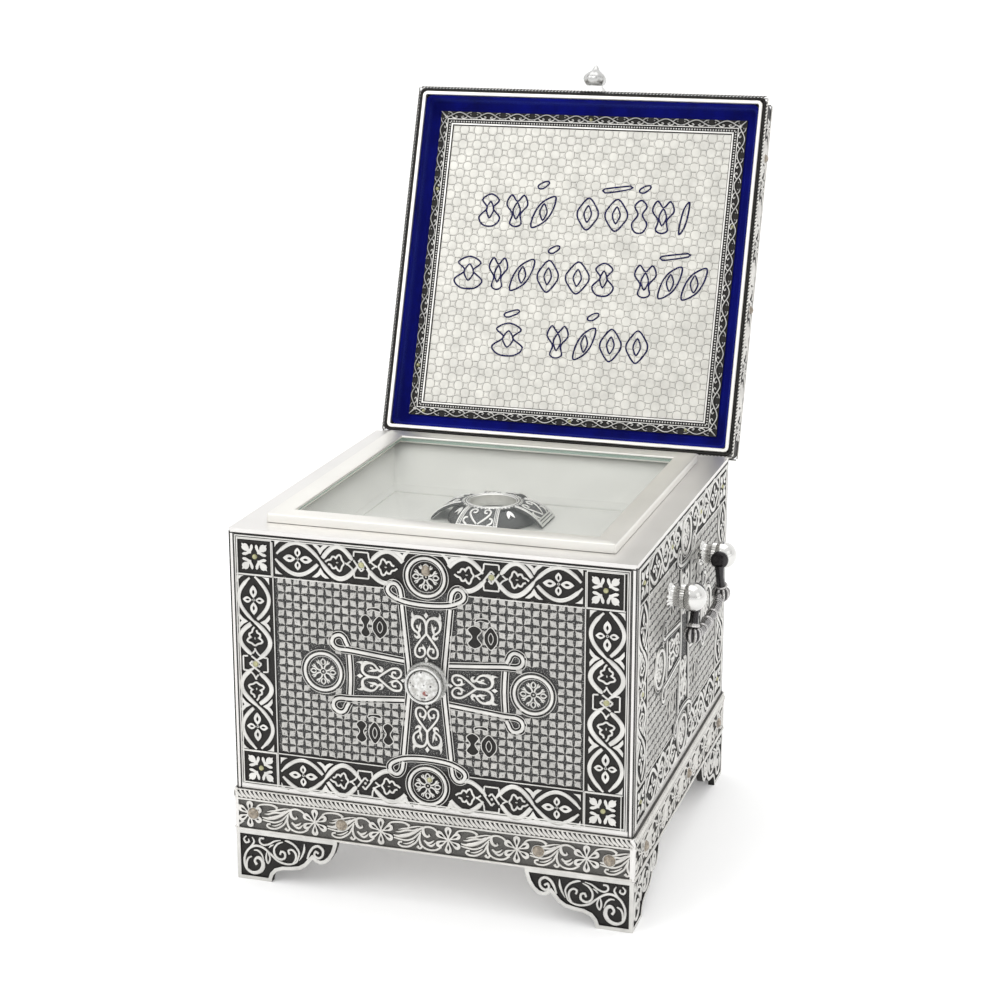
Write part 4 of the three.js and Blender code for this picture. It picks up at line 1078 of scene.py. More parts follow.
# ------------------------------------------------------------------ crystal, posts and bails


def lathe(profile, sides, slot=0, flute=None, ring=False):
    """A [radius, height, lift] profile turned about w; a ring joins its last row to its first."""
    points = []
    for index, (radius, height, lift) in enumerate(profile):
        for k in range(sides):
            angle = 2 * PI * k / sides
            r = radius * (flute(angle, index) if flute else 1)
            points.append((r * math.cos(angle), r * math.sin(angle), height, lift))
    relief = Relief()
    relief.add(points, quads(len(profile), sides, ring) + ([] if ring else caps(len(profile), sides)), slot)
    return relief


bezel_low, bezel_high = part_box("crystal_bezel")
bezel_plane = side_plane(0, MIDDLE_Y - bezel_high.y, (bezel_low.z + bezel_high.z) / 2)
bezel_plane = bezel_plane @ Matrix.Translation((-1.1, -1, 0))
bezel = lathe([(14.6, 0, 0.4), (14.6, 0.8, 0.9), (14.1, 2.2, 1), (13.2, 3.2, 0.8), (12.9, 4.4, 0.5), (13.1, 6, 0.9),
               (13, 7.8, 1), (12.5, 8.6, 1), (11.6, 8.7, 1), (11, 8.2, 0.6), (10.8, 6.6, 0.2), (10.7, 3.9, 0.1)], 56)
beads = random.Random(7)
for k in range(150):
    angle = beads.uniform(0, 2 * PI)
    level = beads.choice((0.6, 1.6, 2.6, 5.2, 6.4, 7.4))
    radius = 13.9 if level < 3 else 12.9
    place = (radius * math.cos(angle), radius * math.sin(angle))
    bezel.dome(place, beads.uniform(0.35, 0.6), 0.5, base=level, sides=6, rings=2)
for k in range(4):
    bezel.dome(turned(14.9, 0, k * PI / 2), 1.2, 1.9, base=0.2, sides=8, stretch=1.5, turn=k * PI / 2)
bezel.build("crystal_bezel_granular", bezel_plane, [GRANULAR], "casket", ["crystal_bezel"], "silver")
crystal_profile = [(10.4, 3.8, 1), (10.6, 6.4, 1), (10.4, 8.2, 1)]
for k in range(1, 9):
    a = k / 9 * PI / 2
    crystal_profile.append((10.3 * math.cos(a), 8.2 + 4.2 * math.sin(a), 1))
lathe(crystal_profile, 48).build("crystal_cabochon", bezel_plane, [CRYSTAL], "casket", ["crystal"], "crystal", 60)


def fluted(count, depth, first, last):
    """A flute function for a lathe: ribs round the rows from first to last."""
    return lambda angle, index: 1 - depth * (0.5 + 0.5 * math.cos(count * angle)) if first <= index <= last else 1.0


def post_relief():
    """A fluted base, a knurled collar and a domed end."""
    base = [(8.8, 0, 0.6), (8.9, 0.9, 1), (8.2, 1.6, 1), (7.2, 2.6, 0.9), (6.9, 4.5, 0.9), (6.9, 7, 0.9),
            (7.2, 8.4, 0.9), (6, 8.8, 0.2)]
    relief = lathe(base, 84, flute=fluted(14, 0.09, 2, 6))
    collar = [(6.4, 8.7, 0), (8.3, 8.9, 1), (8.3, 11.9, 1), (7.2, 12.2, 0)]
    relief.stamp(lathe(collar, 120, flute=fluted(30, 0.05, 1, 2)))
    dome = [(9.6 * math.cos(k / 11 * PI / 2), 16.5 + 9.6 * math.sin(k / 11 * PI / 2), 1) for k in range(11)]
    relief.stamp(lathe([(7.4, 12.1, 0.2), (8.2, 12.5, 1), (9.2, 13.2, 1), (9.6, 14.6, 1)] + dome, 56, 1))
    return relief


post = post_relief()
for name, outward in (("right", Vector((1, 0, 0))), ("left", Vector((-1, 0, 0)))):
    for end in ("front", "back"):
        low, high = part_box(f"post_{name}_{end}")
        foot_at = Vector((min(abs(low.x), abs(high.x)) * outward.x, (low.y + high.y) / 2, (low.z + high.z) / 2))
        along = Vector((0, 1, 0))
        plane = sheet_matrix(along, outward.cross(along), outward, foot_at, MM)
        post.build(f"post_{name}_{end}_turned", plane, [BRIGHT, BRIGHT], "casket", [f"post_{name}_{end}"], "silver", 45)


def tube(relief, path, radii, sides, lift=0.03, rib=None):
    """A round bar through (x, y, z) points in millimetres, with a radius and, in a list, a lift for each."""
    points = []
    count = len(path)
    lifts = lift if isinstance(lift, list) else [lift] * count
    for i, here in enumerate(path):
        tangent = (Vector(path[min(count - 1, i + 1)]) - Vector(path[max(0, i - 1)])).normalized()
        side = Vector((1, 0, 0))
        other = tangent.cross(side)
        for k in range(sides):
            angle = 2 * PI * k / sides
            share = rib(angle) if rib else 1
            r = radii[i] * share
            point = Vector(here) + side * (r * math.cos(angle)) + other * (r * math.sin(angle))
            # rib crests take lift 1 and come out lighter in the blackened metal: rubbed crests with a painted highlight
            points.append((*point, (1.0 if share > 0.9 else 0.02) if rib else lifts[i]))
    relief.add(points, quads(count, sides) + caps(count, sides))


def ribbed(angle):
    return 1 - 0.2 * (0.5 + 0.5 * math.cos(9 * angle))


def bail_relief():
    """A hanging bail about its pivot line along y: eyes, necks, ribbed bulbs, a bowed bar and scrolls."""
    relief = Relief()
    for side in (-1, 1):
        def part(places, radii, sides, lift=0.03):
            tube(relief, [(0, side * y, z) for y, z in places], radii, sides, lift)

        part([(35.6, 0), (36, 0), (36.6, 0), (38.6, 0), (39.2, 0), (39.5, 0)], [4.6, 5.8, 6.3, 6.3, 5.8, 4.6], 20)
        part([(38, 0), (45, 0)], [2, 2], 12)
        part([(37.6, -3.5), (38.6, -8), (40.6, -13), (43.2, -17.6), (45.2, -21)], [3.6, 3.3, 2.9, 3.1, 3.6], 12)
        # this knuckle takes lift 1: lighter, partly rubbed and partly a painted highlight
        part([(45.1, -20.4), (45.5, -21.4), (45.8, -22.4)], [4.2, 4.8, 4.2], 16, 1)
        bulb = ((0, 3.4), (0.12, 4.7), (0.3, 5.4), (0.5, 5.5), (0.7, 5.1), (0.86, 4.2), (1, 2.6))
        tube(relief, [(0, side * (45.8 + 0.4 * t), -22.6 - 10.4 * t) for t, r in bulb],
             [r * 1.25 for t, r in bulb], 54, rib=ribbed)
        steps = 40
        scroll = []
        for k in range(steps + 1):
            angle, r = -0.5 + 5.2 * k / steps, 6.4 * (1 - 0.72 * k / steps)
            scroll.append((35.6 + r * math.cos(angle), -31 + r * math.sin(angle)))
        radii = [(2.3 - 1.1 * k / steps) * (1 if k % 2 else 0.82) for k in range(steps + 1)]
        # every other point of the scroll takes lift 1: lighter twist crests, partly rubbed and partly a painted
        # highlight
        part(scroll, radii, 12, [1.0 if k % 2 else 0.02 for k in range(steps + 1)])
    bow, radii, lifts = [], [], []
    for k in range(73):
        t = -1 + 2 * k / 72
        # raised points take lift 1: the bow's twist crests are lighter, partly rubbed and partly a painted highlight
        raised = k % 2 == 0
        bow.append((0, 45.5 * t, -33.6 + 6.0 * t * t * abs(t)))
        radii.append(2.7 + 0.8 * math.cos(t * PI / 2) + (0.25 if raised else -0.25))
        lifts.append(1.0 if raised else 0.02)
    tube(relief, bow, radii, 14, lifts)
    for centre in (-16.38, 0, 16.38):
        # the bosses take lift 0.9: lighter, partly rubbed and partly a painted highlight
        tube(relief, [(0, centre + d, -33.4) for d in (-1.6, -0.8, 0, 0.8, 1.6)], [3.2, 4.1, 4.3, 4.1, 3.2], 16, 0.9)
    return relief


bail = bail_relief()
for name, sign in (("right", 1), ("left", -1)):
    joint = next(j for j in frame["joints"] if j["name"] == f"{name}_bail_pivot")
    matrix = Matrix.Translation(Vector(joint["pos_m"])) @ Matrix.Scale(MM, 4)
    if sign < 0:
        matrix = matrix @ Matrix.Rotation(PI, 4, "Z")
    bail.build(f"bail_{name}_cast", matrix, [BLACK_METAL], f"{name}_bail", [f"bail_{name}"], "blackened_bronze", 50)


# ------------------------------------------------------------------ deck, glazing and tray


def rounded_square(reach, radius, steps, between=0):
    """Corner arcs of a square, with places between them along each side."""
    ring = []
    for k in range(4):
        c = turned(reach - radius, reach - radius, k * PI / 2)
        arc = [(k + j / steps) * PI / 2 for j in range(steps + 1)]
        ring += [(c[0] + radius * math.cos(a), c[1] + radius * math.sin(a)) for a in arc]
        start, end = turned(reach - radius, reach, k * PI / 2), turned(radius - reach, reach, k * PI / 2)
        for j in range(1, between + 1):
            t = j / (between + 1)
            ring.append((start[0] + (end[0] - start[0]) * t, start[1] + (end[1] - start[1]) * t))
    return ring


def moulded_ring(profile, half, corner=0.0):
    """A [distance in from the edge, height, lift] profile run round a square."""
    points = []
    for inwards, height, lift in profile:
        reach = half - inwards
        if corner:
            ring = rounded_square(reach, max(0.0, corner - inwards), 5)
        else:
            ring = [turned(reach, reach, k * PI / 2) for k in range(4)]
        points += [(u, v, height, lift) for u, v in ring]
    relief = Relief()
    relief.add(points, quads(len(profile), len(points) // len(profile), True))
    return relief


deck_plane = Matrix.Translation((0, MIDDLE_Y, DECK)) @ Matrix.Scale(MM, 4)
frame_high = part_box("glazed_frame")[1]
FRAME_TOP = (frame_high.z - DECK) / MM
FRAME_HALF = frame_high.x / MM
glass_low, glass_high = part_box("glass_pane")
profile = [(0, 0.3, 1), (0, FRAME_TOP - 0.9, 1), (0.35, FRAME_TOP - 0.25, 1), (1, FRAME_TOP, 1), (14, FRAME_TOP, 1),
           (14.7, FRAME_TOP - 0.3, 1), (15, FRAME_TOP - 1, 1), (15, 4.7, 0.6), (11.7, 4.7, 0.4), (11.7, 0.3, 0.4)]
moulded_ring(profile, FRAME_HALF, 1.6).build(
    "glazed_frame_polished", deck_plane, [SATIN_SILVER], "casket", ["glazed_frame"], "silver", 30)

pane_half = glass_high.x / MM
pane = Relief()
pane.slab((-pane_half, -pane_half), (pane_half, pane_half), (glass_low.z - DECK) / MM, (glass_high.z - DECK) / MM)
# the four edges show the glass's green
pane.slots = [0, 0, 1, 1, 1, 1]
glass_piece = pane.build("glass_pane_clear", deck_plane, [GLASS, GLASS_EDGE], "casket", ["glass_pane"], "glass")
chamfer = glass_piece.modifiers.new("edge", "BEVEL")
chamfer.width = 0.4 * MM
chamfer.segments = 2


def tray_relief():
    """Satin lining: walls, a seam, four slopes and a flat floor with a thin shadow step."""
    wall, per = 116.0, 24
    rows = [
        ((wall, wall), 0), ((wall, wall), -2.5), ((wall - 0.3, wall - 0.3), -8.4), ((wall - 1, wall - 1), -9.6),
        ((wall - 1.6, wall - 1.6), -9.9), ((wall - 2.4, wall - 2.4), -9.7), ((wall - 6, wall - 7), -10.5),
        ((108.5, 96), -13.2), ((102, 74), -16.2), ((95, 56), -18.6), ((91.2, 47), -19.7),
        ((90, 45.2), -19.9), ((89.6, 44.8), -20.9), ((88.6, 43.8), -21)]
    points, count = [], 4 * per

    def ring(u, v, level):
        for k in range(count):
            side, t = divmod(k, per)
            s = -1 + 2 * t / per
            puff = 0.35 * math.sin(3 * PI * t / per) if -18 < level < -10.2 else 0
            points.append((*[(s * u, -v), (u, s * v), (-s * u, v), (-u, -s * v)][side], level + puff, 0))

    for (u, v), level in rows:
        ring(u, v, level)
    faces = quads(len(rows), count)
    inner, centre = (len(rows) - 1) * count, len(points)
    points.append((0, 0, -21.0, 0))
    faces += [(centre, inner + k, inner + (k + 1) % count) for k in range(count)]
    outer = len(points)
    ring(wall + 0.2, wall + 0.2, 0.0)
    ring(91.0, 46.0, -22.2)
    under = len(points)
    points.append((0, 0, -22.4, 0))
    for k in range(count):
        n = (k + 1) % count
        faces += [(k, n, outer + n, outer + k), (outer + count + n, outer + count + k, outer + k, outer + n),
                  (outer + count + k, under, outer + count + n)]
    relief = Relief()
    relief.add(points, faces)
    return relief


tray = tray_relief()
tray_piece = tray.build("satin_tray", deck_plane, [SATIN], "casket", ["inner_tray"], "lining", 30)


# ------------------------------------------------------------------ relic cover


def cover_height(along):
    """Height of an arm's vault over the tray floor, in millimetres."""
    t = max(0.0, (along - 18.0) / 23.0)
    return 12.4 * max(0.0, 1 - t ** 1.8) ** 0.75 + 0.9


def cover_half(along):
    return 11.9 + 0.16 * (along - 17)


def cover_relief():
    """A vaulted cross over a low dome, with a beaded collar open in the middle."""
    dome = [(32, 0.3, 0.1), (31.2, 3, 0.3), (28.4, 7, 0.3), (24.2, 10.2, 0.3), (18, 11.9, 0.1), (17, 10.6, 0),
            (27, 5, 0), (30, 0.3, 0)]
    relief = lathe(dome, 64, ring=True)
    curls = (
        (0.9, [(37, 0.4, 1), (33.5, 4.2, 1.4), (29, 7, 1.5), (25, 6.8, 1.4), (23.4, 4.6, 1.3), (25, 2.6, 1.2),
               (27.6, 3.3, 1.2), (27.4, 5, 1)]),
        (0.8, [(37.6, 7.4, 0.9), (35.6, 10.2, 1.3), (32.8, 9.8, 1.3), (32.4, 7.8, 1)]))
    count, ring = 14, 9
    for k in range(4):
        angle = k * PI / 2
        points = []
        for i in range(count + 1):
            along = 17.0 + 24.0 * i / count
            half, level = cover_half(along), cover_height(along)
            low = max(0.2, level - 2.0)
            row = [(-half, low, 0.1)] + [(-half + 2 * half * j / 6, level, 0.3) for j in range(7)] + [(half, low, 0.1)]
            points += [(*turned(along, across, angle), z, lift) for across, z, lift in row]
        relief.add(points, [face[::-1] for face in quads(count + 1, ring)] + caps(count + 1, ring))
        arm = Relief()
        for side in (1, -1):
            edge = [(20.0 + 2 * i, side * (cover_half(20.0 + 2 * i) - 0.6)) for i in range(11)]
            arm.ribbon(edge, 1.0, 0.8)
            arm.ribbon([(u, v - side * 2.3) for u, v in edge], 0.7, 0.7)
            for i in range(17):
                u = 20.6 + 19.2 * i / 16
                arm.dome((u, side * (cover_half(u) - 1.75)), 0.5, 0.9, sides=6, rings=2)
            for height, controls in curls:
                stroke(arm, [(u, v * side, w) for u, v, w in controls], height)
        for level in (38.0, 39.4, 40.6):
            half = cover_half(level) - 0.8
            arm.ribbon([(level, -half), (level, half)], 0.8, 0.8)
        relief.stamp(arm, lambda u, v, w, angle=angle: (*turned(u, v, angle), cover_height(u) + w))
        middle = angle + PI / 4
        for side in (1, -1):
            leaf = filled([leaf_outline(turned(23.4, 0, middle), 6.4, 2.6, middle + side * 0.42, 0.5, 5)], 0.7, 0.15)
            relief.stamp(leaf, lambda u, v, w: (u, v, w + 12.2 - 0.0135 * (u * u + v * v - 460)))
    collar = [(21.6, 11.4, 0.1), (21.8, 12.7, 0.5), (20.9, 13, 0.3), (20.2, 13.5, 1), (19.4, 13.1, 0.1),
              (18.9, 13.6, 1), (18.1, 13.7, 1), (17.6, 13.2, 0.2), (17.2, 13.4, 1), (16.6, 13, 1), (16.4, 5, 0.7),
              (17.6, 5, 0.1)]
    relief.stamp(lathe(collar, 60, ring=True))
    for k in range(46):
        relief.dome(turned(21.1, 0, 2 * PI * k / 46), 0.85, 0.9, base=12.6, sides=6, rings=2)
    relief.stamp(lathe([(16.6, 3.4, 1), (16.6, 4.4, 1), (12, 5, 1), (4, 5.2, 1)], 48, 1))
    return relief


cover_plane = Matrix.Translation((0, MIDDLE_Y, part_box("relic_cover")[0].z)) @ Matrix.Scale(MM, 4)
cover_relief().build(
    "relic_cover_chased", cover_plane, [DARK_COVER, SATIN], "casket", ["relic_cover"], "dark_silver", 40)


# ------------------------------------------------------------------ lid

LID_HALF = 140.0
LID_HEIGHT = 26.0
LID_FOOT = 0.6  # of the shut lid over the deck
LID_FLOOR = LID_FOOT + 15


# the open lid is drawn a little shallower than the case
LID_DRAW = Matrix.Diagonal((1, 0.988, 1, 1))
# from the shut lid in millimetres, with the deck's centre as origin, to the open lid in the frame
LID = (Matrix.Translation(PIVOT) @ Matrix.Rotation(-LID_OPEN, 4, "X") @ LID_DRAW @ Matrix.Translation(-PIVOT)
       @ deck_plane)


def lid_side_matrix(side, height):
    """A sheet on the outside of one of the lid's four walls, in the open lid."""
    right, outward = side_axes(side)
    return LID @ sheet_matrix(right, UP, outward, outward * LID_HALF + UP * height)


# the shell's mouth edge has lift 0 and comes out black: painted shade of the gap between the shell and the rim
profile = [(0.5, LID_FOOT + 0.4, 0), (0, LID_FOOT + 1, 0), (0, LID_HEIGHT - 0.4, 0), (0.6, LID_HEIGHT + LID_FOOT, 1),
           (6, LID_HEIGHT + LID_FOOT, 1), (6, LID_HEIGHT - 1.6, 0), (2.3, LID_HEIGHT - 1.8, 0),
           (2.3, LID_FOOT + 1.6, 0), (1.6, LID_FOOT + 0.8, 0)]
shell = moulded_ring(profile, LID_HALF - 0.9, 4.0)
inside = LID_HALF - 6.4
shell.slab((-inside, -inside), (inside, inside), LID_HEIGHT - 1.7, LID_HEIGHT + 0.2)
shell.build("lid_case", LID, [CARVED], "lid", ["lid_shell"], "oxidised_silver")

for side, name in enumerate(SIDES):
    relief = Relief()
    half = LID_HALF - 1.2
    rope_line(relief, -half, half, 2.0, 1.8, 2.7)
    relief.ribbon([(-half, 5.2), (half, 5.2)], 1.0, 0.9, section=FLAT)
    relief.ribbon([(-half, 24.9), (half, 24.9)], 1.8, 1.1, section=FLAT)
    motif, flower = scroll_motif(), six_petals()
    middle, step, tall = 15.4, 47.6, 16.4 / 21.6
    for k in range(6):
        u = (k - 2.5) * step
        relief.stamp(flower, shift(u, middle, scale=tall))
        if k < 5:
            relief.stamp(motif, lambda a, b, w, u=u: (u + a * step / 47, middle + b * tall, w))
    for u in (-95, 24) if side % 2 else (-62, 62):
        relief.dome((u, middle), 3.6, 3.2, base=0.3, slot=1, sides=16, rings=4)
        relief.ribbon(circle((u, middle), 3.8, 18), 0.6, 1.1, closed=True)
    plane = lid_side_matrix(side, LID_FOOT) @ Matrix.Translation((0, 0, -0.9))
    relief.build(f"lid_{name}_band_relief", plane, [BAND_SILVER, SMOKY], "lid", (), "oxidised_silver")

top = Relief()
top_half = 132.0
for reach, width in ((top_half - 0.8, 1.4), (top_half - 27.6, 0.9)):
    square = [(-reach, -reach), (reach, -reach), (reach, reach), (-reach, reach)]
    top.ribbon(square, width, 1.1, closed=True, section=FLAT)
unit_row = border_unit(16.3, 28.7, 44.7, top_half - 28.6 - 44.7)
jewel, ivy = strap_knot(True), ivy_leaf()
for k in range(4):
    part = Relief()
    for side in (1, -1):
        mirror = side < 0
        part.stamp(unit_row, shift(side * 44.7, 0, mirror=mirror))
        part.stamp(jewel, shift(side * 44.7, 0, mirror=mirror))
        part.stamp(ivy, shift(side * 29.2, 0, PI, mirror=mirror))
    part.stamp(medallion(), shift(0, 0, scale=0.8))
    centre = turned(0, top_half - 13.6, k * PI / 2)
    top.stamp(part, shift(*centre, k * PI / 2))
    corner = turned(top_half - 13.6, top_half - 13.6, k * PI / 2)
    top.stamp(corner_star(), shift(*corner))
top.stamp(cross_relief())
cells = diaper(103.0, 103.0)
cells.slab((-103.6, -103.6), (103.6, 103.6), -0.5, 0.06, 0, 0.3)
top.stamp(cells, slot=2)
top_plane = LID @ Matrix.Translation((0, 0, LID_HEIGHT + 0.2))
top.build("lid_top_relief", top_plane, [CARVED, OLIVE, DIAPER], "lid", (), "oxidised_silver")

RIM_OUTER = 136.8
profile = [(0, 23, 0.5), (2.8, 23, 0.5), (2.8, LID_FOOT + 0.5, 1), (2.3, LID_FOOT, 1), (0.5, LID_FOOT, 1),
           (0, LID_FOOT + 0.5, 1)]
moulded_ring(profile, RIM_OUTER, 4.0).build("lid_rim_polished", LID, [SATIN_SILVER], "lid", ["lid_rim"], "silver", 30)


def velvet_relief():
    """Velvet over the inside of the lid: rounded skirt, puffed field and a gentle dip round the frame."""
    outer = RIM_OUTER - 3.1
    rows = [(outer, 3.2, 4.6), (outer - 0.8, 3.6, 4.1), (outer - 1.7, 4.6, 4), (outer - 2.1, 8, 4),
            (outer - 2.6, LID_FLOOR - 2.6, 4.6), (outer - 3.6, LID_FLOOR - 1.0, 5.2),
            (outer - 5.2, LID_FLOOR - 0.35, 5.6), (outer - 7.6, LID_FLOOR - 0.5, 5.0), (126.0, LID_FLOOR - 0.3, 3.0),
            (123.6, LID_FLOOR, 1.0)]
    points = []
    for reach, level, radius in rows:
        ring = rounded_square(reach, radius, 5, 11)
        for index, (u, v) in enumerate(ring):
            wave = 0.18 * math.sin(index * 1.7) * math.sin(reach * 0.9)
            points.append((u, v, level + wave, 0.0))
    count, back = len(ring), len(points)
    faces = quads(len(rows), count) + [tuple(range(back - count, back))]
    points += [(u, v, 23.0, 0.0) for u, v, _, _ in points[:count]]
    faces += [(back + k, back + (k + 1) % count, (k + 1) % count, k) for k in range(count)]
    faces.append(tuple(reversed(range(back, back + count))))
    relief = Relief()
    relief.add(points, faces)
    return relief


velvet = velvet_relief().build("velvet_pad", LID, [VELVET], "lid", ["velvet_lining"], "velvet", 50)

# faces the lid's mouth: u to the right, v from the hinges to the front, w towards the mouth
INNER = LID @ Matrix.Translation((0, 0, LID_FLOOR)) @ Matrix.Diagonal((1, -1, -1, 1))


def vine_side(half):
    """One side of the scroll frame along +u: a wave with curls beside its crests and berries between."""
    relief = Relief()
    count = round(2 * half / 25)
    step = 2 * half / count
    for k in range(count):
        u0 = -half + k * step
        wave = [(u0 + j / 16 * step, 2.3 * math.cos(2 * PI * j / 16)) for j in range(17)]
        relief.ribbon(wave, 0.95, 1.5)
        middle = u0 + step / 2
        for side in (1, -1):
            curl = ((7, 0.2, 0.6), (5.4, 2.2, 0.9), (3.2, 2.6, 0.9), (1.8, 1.6, 0.8), (2.6, 0.7, 0.8))
            stroke(relief, [(middle + side * u, v, w) for u, v, w in curl], 1.3)
            relief.dome((middle + side * 3.0, 0.9), 0.8, 1.5, sides=8)
            relief.dome((middle + side * 9.6, 2.3), 0.75, 1.3, sides=8)
            foot = middle - side * (step / 2 - 4.4)
            stroke(relief, [(foot + side * 2, -0.6, 0.6), (foot, -2.2, 0.85), (foot - side * 2.2, -2.5, 0.6)], 1.2)
            relief.dome((foot - side * 1.6, -0.9), 0.7, 1.4, sides=8)
    return relief


FRAME_OUT = 124.0
frame_work = Relief()
frame_profile = [(0, 0.3, 0), (0, 1.2, 0), (6.1, 1.2, 0), (6.2, 2.2, 1), (6.7, 2.2, 1), (6.9, 1.1, 0), (9.7, 1.1, 0),
                 (9.8, 2.3, 1), (10.9, 2.3, 1), (11.1, 1.3, 0), (11.6, 1.1, 0), (11.6, 0.3, 0)]
frame_work.stamp(moulded_ring(frame_profile, FRAME_OUT))
vine = vine_side(FRAME_OUT - 3.6)
beads_at = FRAME_OUT - 8.3
bead_row = 111
for k in range(4):
    centre = turned(0, FRAME_OUT - 3.1, k * PI / 2)
    move = shift(*centre, k * PI / 2, dw=1.1)
    frame_work.stamp(vine, lambda u, v, w, move=move: move(u, -v, w))
    for j in range(bead_row):
        u = -beads_at + (j + 0.5) * 2 * beads_at / bead_row
        frame_work.dome(turned(u, beads_at, k * PI / 2), 1.0, 1.1, base=1.0, sides=6, rings=2, stretch=0.78,
                        turn=k * PI / 2)
    # a leaf lies across each mitre
    leaf = [turned(FRAME_OUT - inwards, FRAME_OUT - inwards, k * PI / 2) for inwards in (6.0, 0.6)]
    frame_work.ribbon(leaf, [1.8, 0.6], 1.8, base=1.0)
for u, v in ((-112, -120.6), (8, -120.6), (100, -120.6), (-120.6, -84), (120.6, 40), (-120.6, 60), (0, 120.6)):
    frame_work.dome((u, v), 1.5, 2.2, base=1.2, slot=1, sides=10, rings=3)
frame_work.build("scroll_frame_chased", INNER, [CARVED, OLIVE], "lid", ["scroll_frame"], "oxidised_silver")


PLATE_HALF = 112.4
WEAVE = 5.92


def plate_relief():
    """The lid's silver plate: interlaced wavy ribs, and rows of blue outlined strokes that are not letters."""
    relief = Relief()
    half = PLATE_HALF
    relief.slab((-half, -half), (half, half), 0.2, 0.9, 0, 0.9)
    # the rib's lift differs between its two sides, 0.55 and 0.75 on one, 1 and 0.7 on the other: one side is painted
    # lighter as a painted highlight and the other darker as painted shade
    rib = [(-0.5, 0, 0.55), (-0.15, 1, 0.75), (0.25, 0.85, 1), (0.5, 0, 0.7)]
    lines = round(2 * half / WEAVE)
    steps = lines * 4
    for i in range(1, lines):
        offset = -half + i * 2 * half / lines
        sign = 1 if i % 2 == 0 else -1
        for upright in (True, False):
            line = []
            for k in range(steps + 1):
                along = -half + 2 * half * k / steps
                across = offset + sign * 0.95 * math.sin(PI * along / WEAVE)
                line.append((across, along) if upright else (along, across))
            relief.ribbon(line, 1.15, 0.42, base=0.86, section=rib)
    for up, places, accents in BLUE_ROWS:
        for k, (place, width) in enumerate(places):
            blue_stroke(relief, place, up, width, 25.5, k)
        for place, rise, width in accents:
            bar = [(-width / 2, -2.4), (-width / 2 + 3.4, -2.8), (width / 2, 0.8), (width / 2, 3), (width / 2 - 3, 3),
                   (-width / 2, 0.0)]
            line = smooth([(place + a, up + rise + b) for a, b in bar], 1.4, True)
            relief.ribbon(line, 1.25, 0.5, base=0.9, closed=True, slot=1)
    return relief


# (height, [(place, width)], [(place, rise, width)]) of the strokes that stand for the inscription
BLUE_ROWS = (
    (45, ((-75, 17), (-53, 17), (-31, 17), (5, 17), (28, 18), (47, 12), (65, 17), (82, 6)),
     ((-33, 21.5, 8), (27, 20.5, 21), (49, 21.5, 8))),
    (-6.4, ((-87, 23), (-63, 15), (-43, 17), (-22, 17), (2, 19), (23, 17), (56, 17), (76, 16), (95, 17)),
     ((-19, 21.5, 8), (78, 20.5, 21))),
    (-58.4, ((-49, 25), (-9, 17), (13, 15), (34, 17), (55, 17)),
     ((-48, 20.5, 11), (18, 21.5, 8))))


def blue_stroke(relief, u, v, width, height, kind):
    """One outlined stroke: waisted, almond, leaf pair or leaning reed, never a letter."""
    w, h = width / 2, height / 2
    shapes = (
        [(0, h), (w * 0.8, h * 0.62), (w * 0.3, h * 0.1), (w, -h * 0.5), (w * 0.5, -h), (-w * 0.5, -h), (-w, -h * 0.5),
         (-w * 0.3, h * 0.1), (-w * 0.8, h * 0.62)],
        [(0, h), (w * 0.8, h * 0.4), (w, 0), (w * 0.8, -h * 0.4), (0, -h), (-w * 0.8, -h * 0.4), (-w, 0),
         (-w * 0.8, h * 0.4)],
        [(w, h), (w * 0.9, h * 0.2), (w * 0.2, -h * 0.6), (-w, -h), (-w * 0.9, -h * 0.2), (-w * 0.2, h * 0.6)],
        [(-w * 0.6, h), (0, h * 0.6), (w * 0.6, h), (w, h * 0.4), (w * 0.4, -h * 0.2), (w * 0.55, -h * 0.8), (0, -h),
         (-w * 0.55, -h * 0.8), (-w * 0.4, -h * 0.2), (-w, h * 0.4)])
    outlines = [(1.35, shapes[(kind * 3 + kind // 4) % 4])]
    if width > 12:
        outlines.append((1.25, [(a * 0.34, b * 0.52) for a, b in shapes[1]]))
    for bold, outline in outlines:
        line = [(u + a, v + b) for a, b in smooth(outline, 1.5, True)]
        relief.ribbon(line, bold, 0.5, base=0.9, closed=True, slot=1)


plate_relief().build("lid_plate_woven", INNER, [PLATE, BLUE], "lid", ["lid_plate"], "silver")

knob_profile = [(6.2, 4.6, 1), (5.4, 5.4, 0.6), (5.2, 6.2, 0.5), (6.6, 7.2, 0.8), (8.4, 9.2, 1), (9.2, 11.4, 1),
                (9, 13.4, 1), (7.6, 15.6, 1), (5.4, 17.4, 1), (3.6, 18.8, 1), (2.4, 20.4, 1), (2, 21.8, 1),
                (1.2, 22.8, 1), (0.3, 23.3, 1)]
knob = lathe(knob_profile, 48, flute=fluted(8, 0.07, 4, 13))
for size, low, high in ((9.4, -0.4, 2.2), (8.2, 2.2, 4.7)):
    knob.slab((-size, -size), (size, size), low, high, 0, 1.0)
knob_plane = lid_side_matrix(0, LID_HEIGHT / 2) @ Matrix.Translation((0, 0, 1.0))
knob.build("lid_knob_turned", knob_plane, [KNOB_SILVER], "lid", ["lid_knob"], "silver", 40)


# ------------------------------------------------------------------ looks of the CAD nodes that stay

for name in ("case", "hinge_leaf_left", "hinge_leaf_right", "lid_leaf_left", "lid_leaf_right"):
    mesh = nodes[name].data
    mesh.materials.clear()
    mesh.materials.append(POLISHED)


# ------------------------------------------------------------------ floor, light and camera


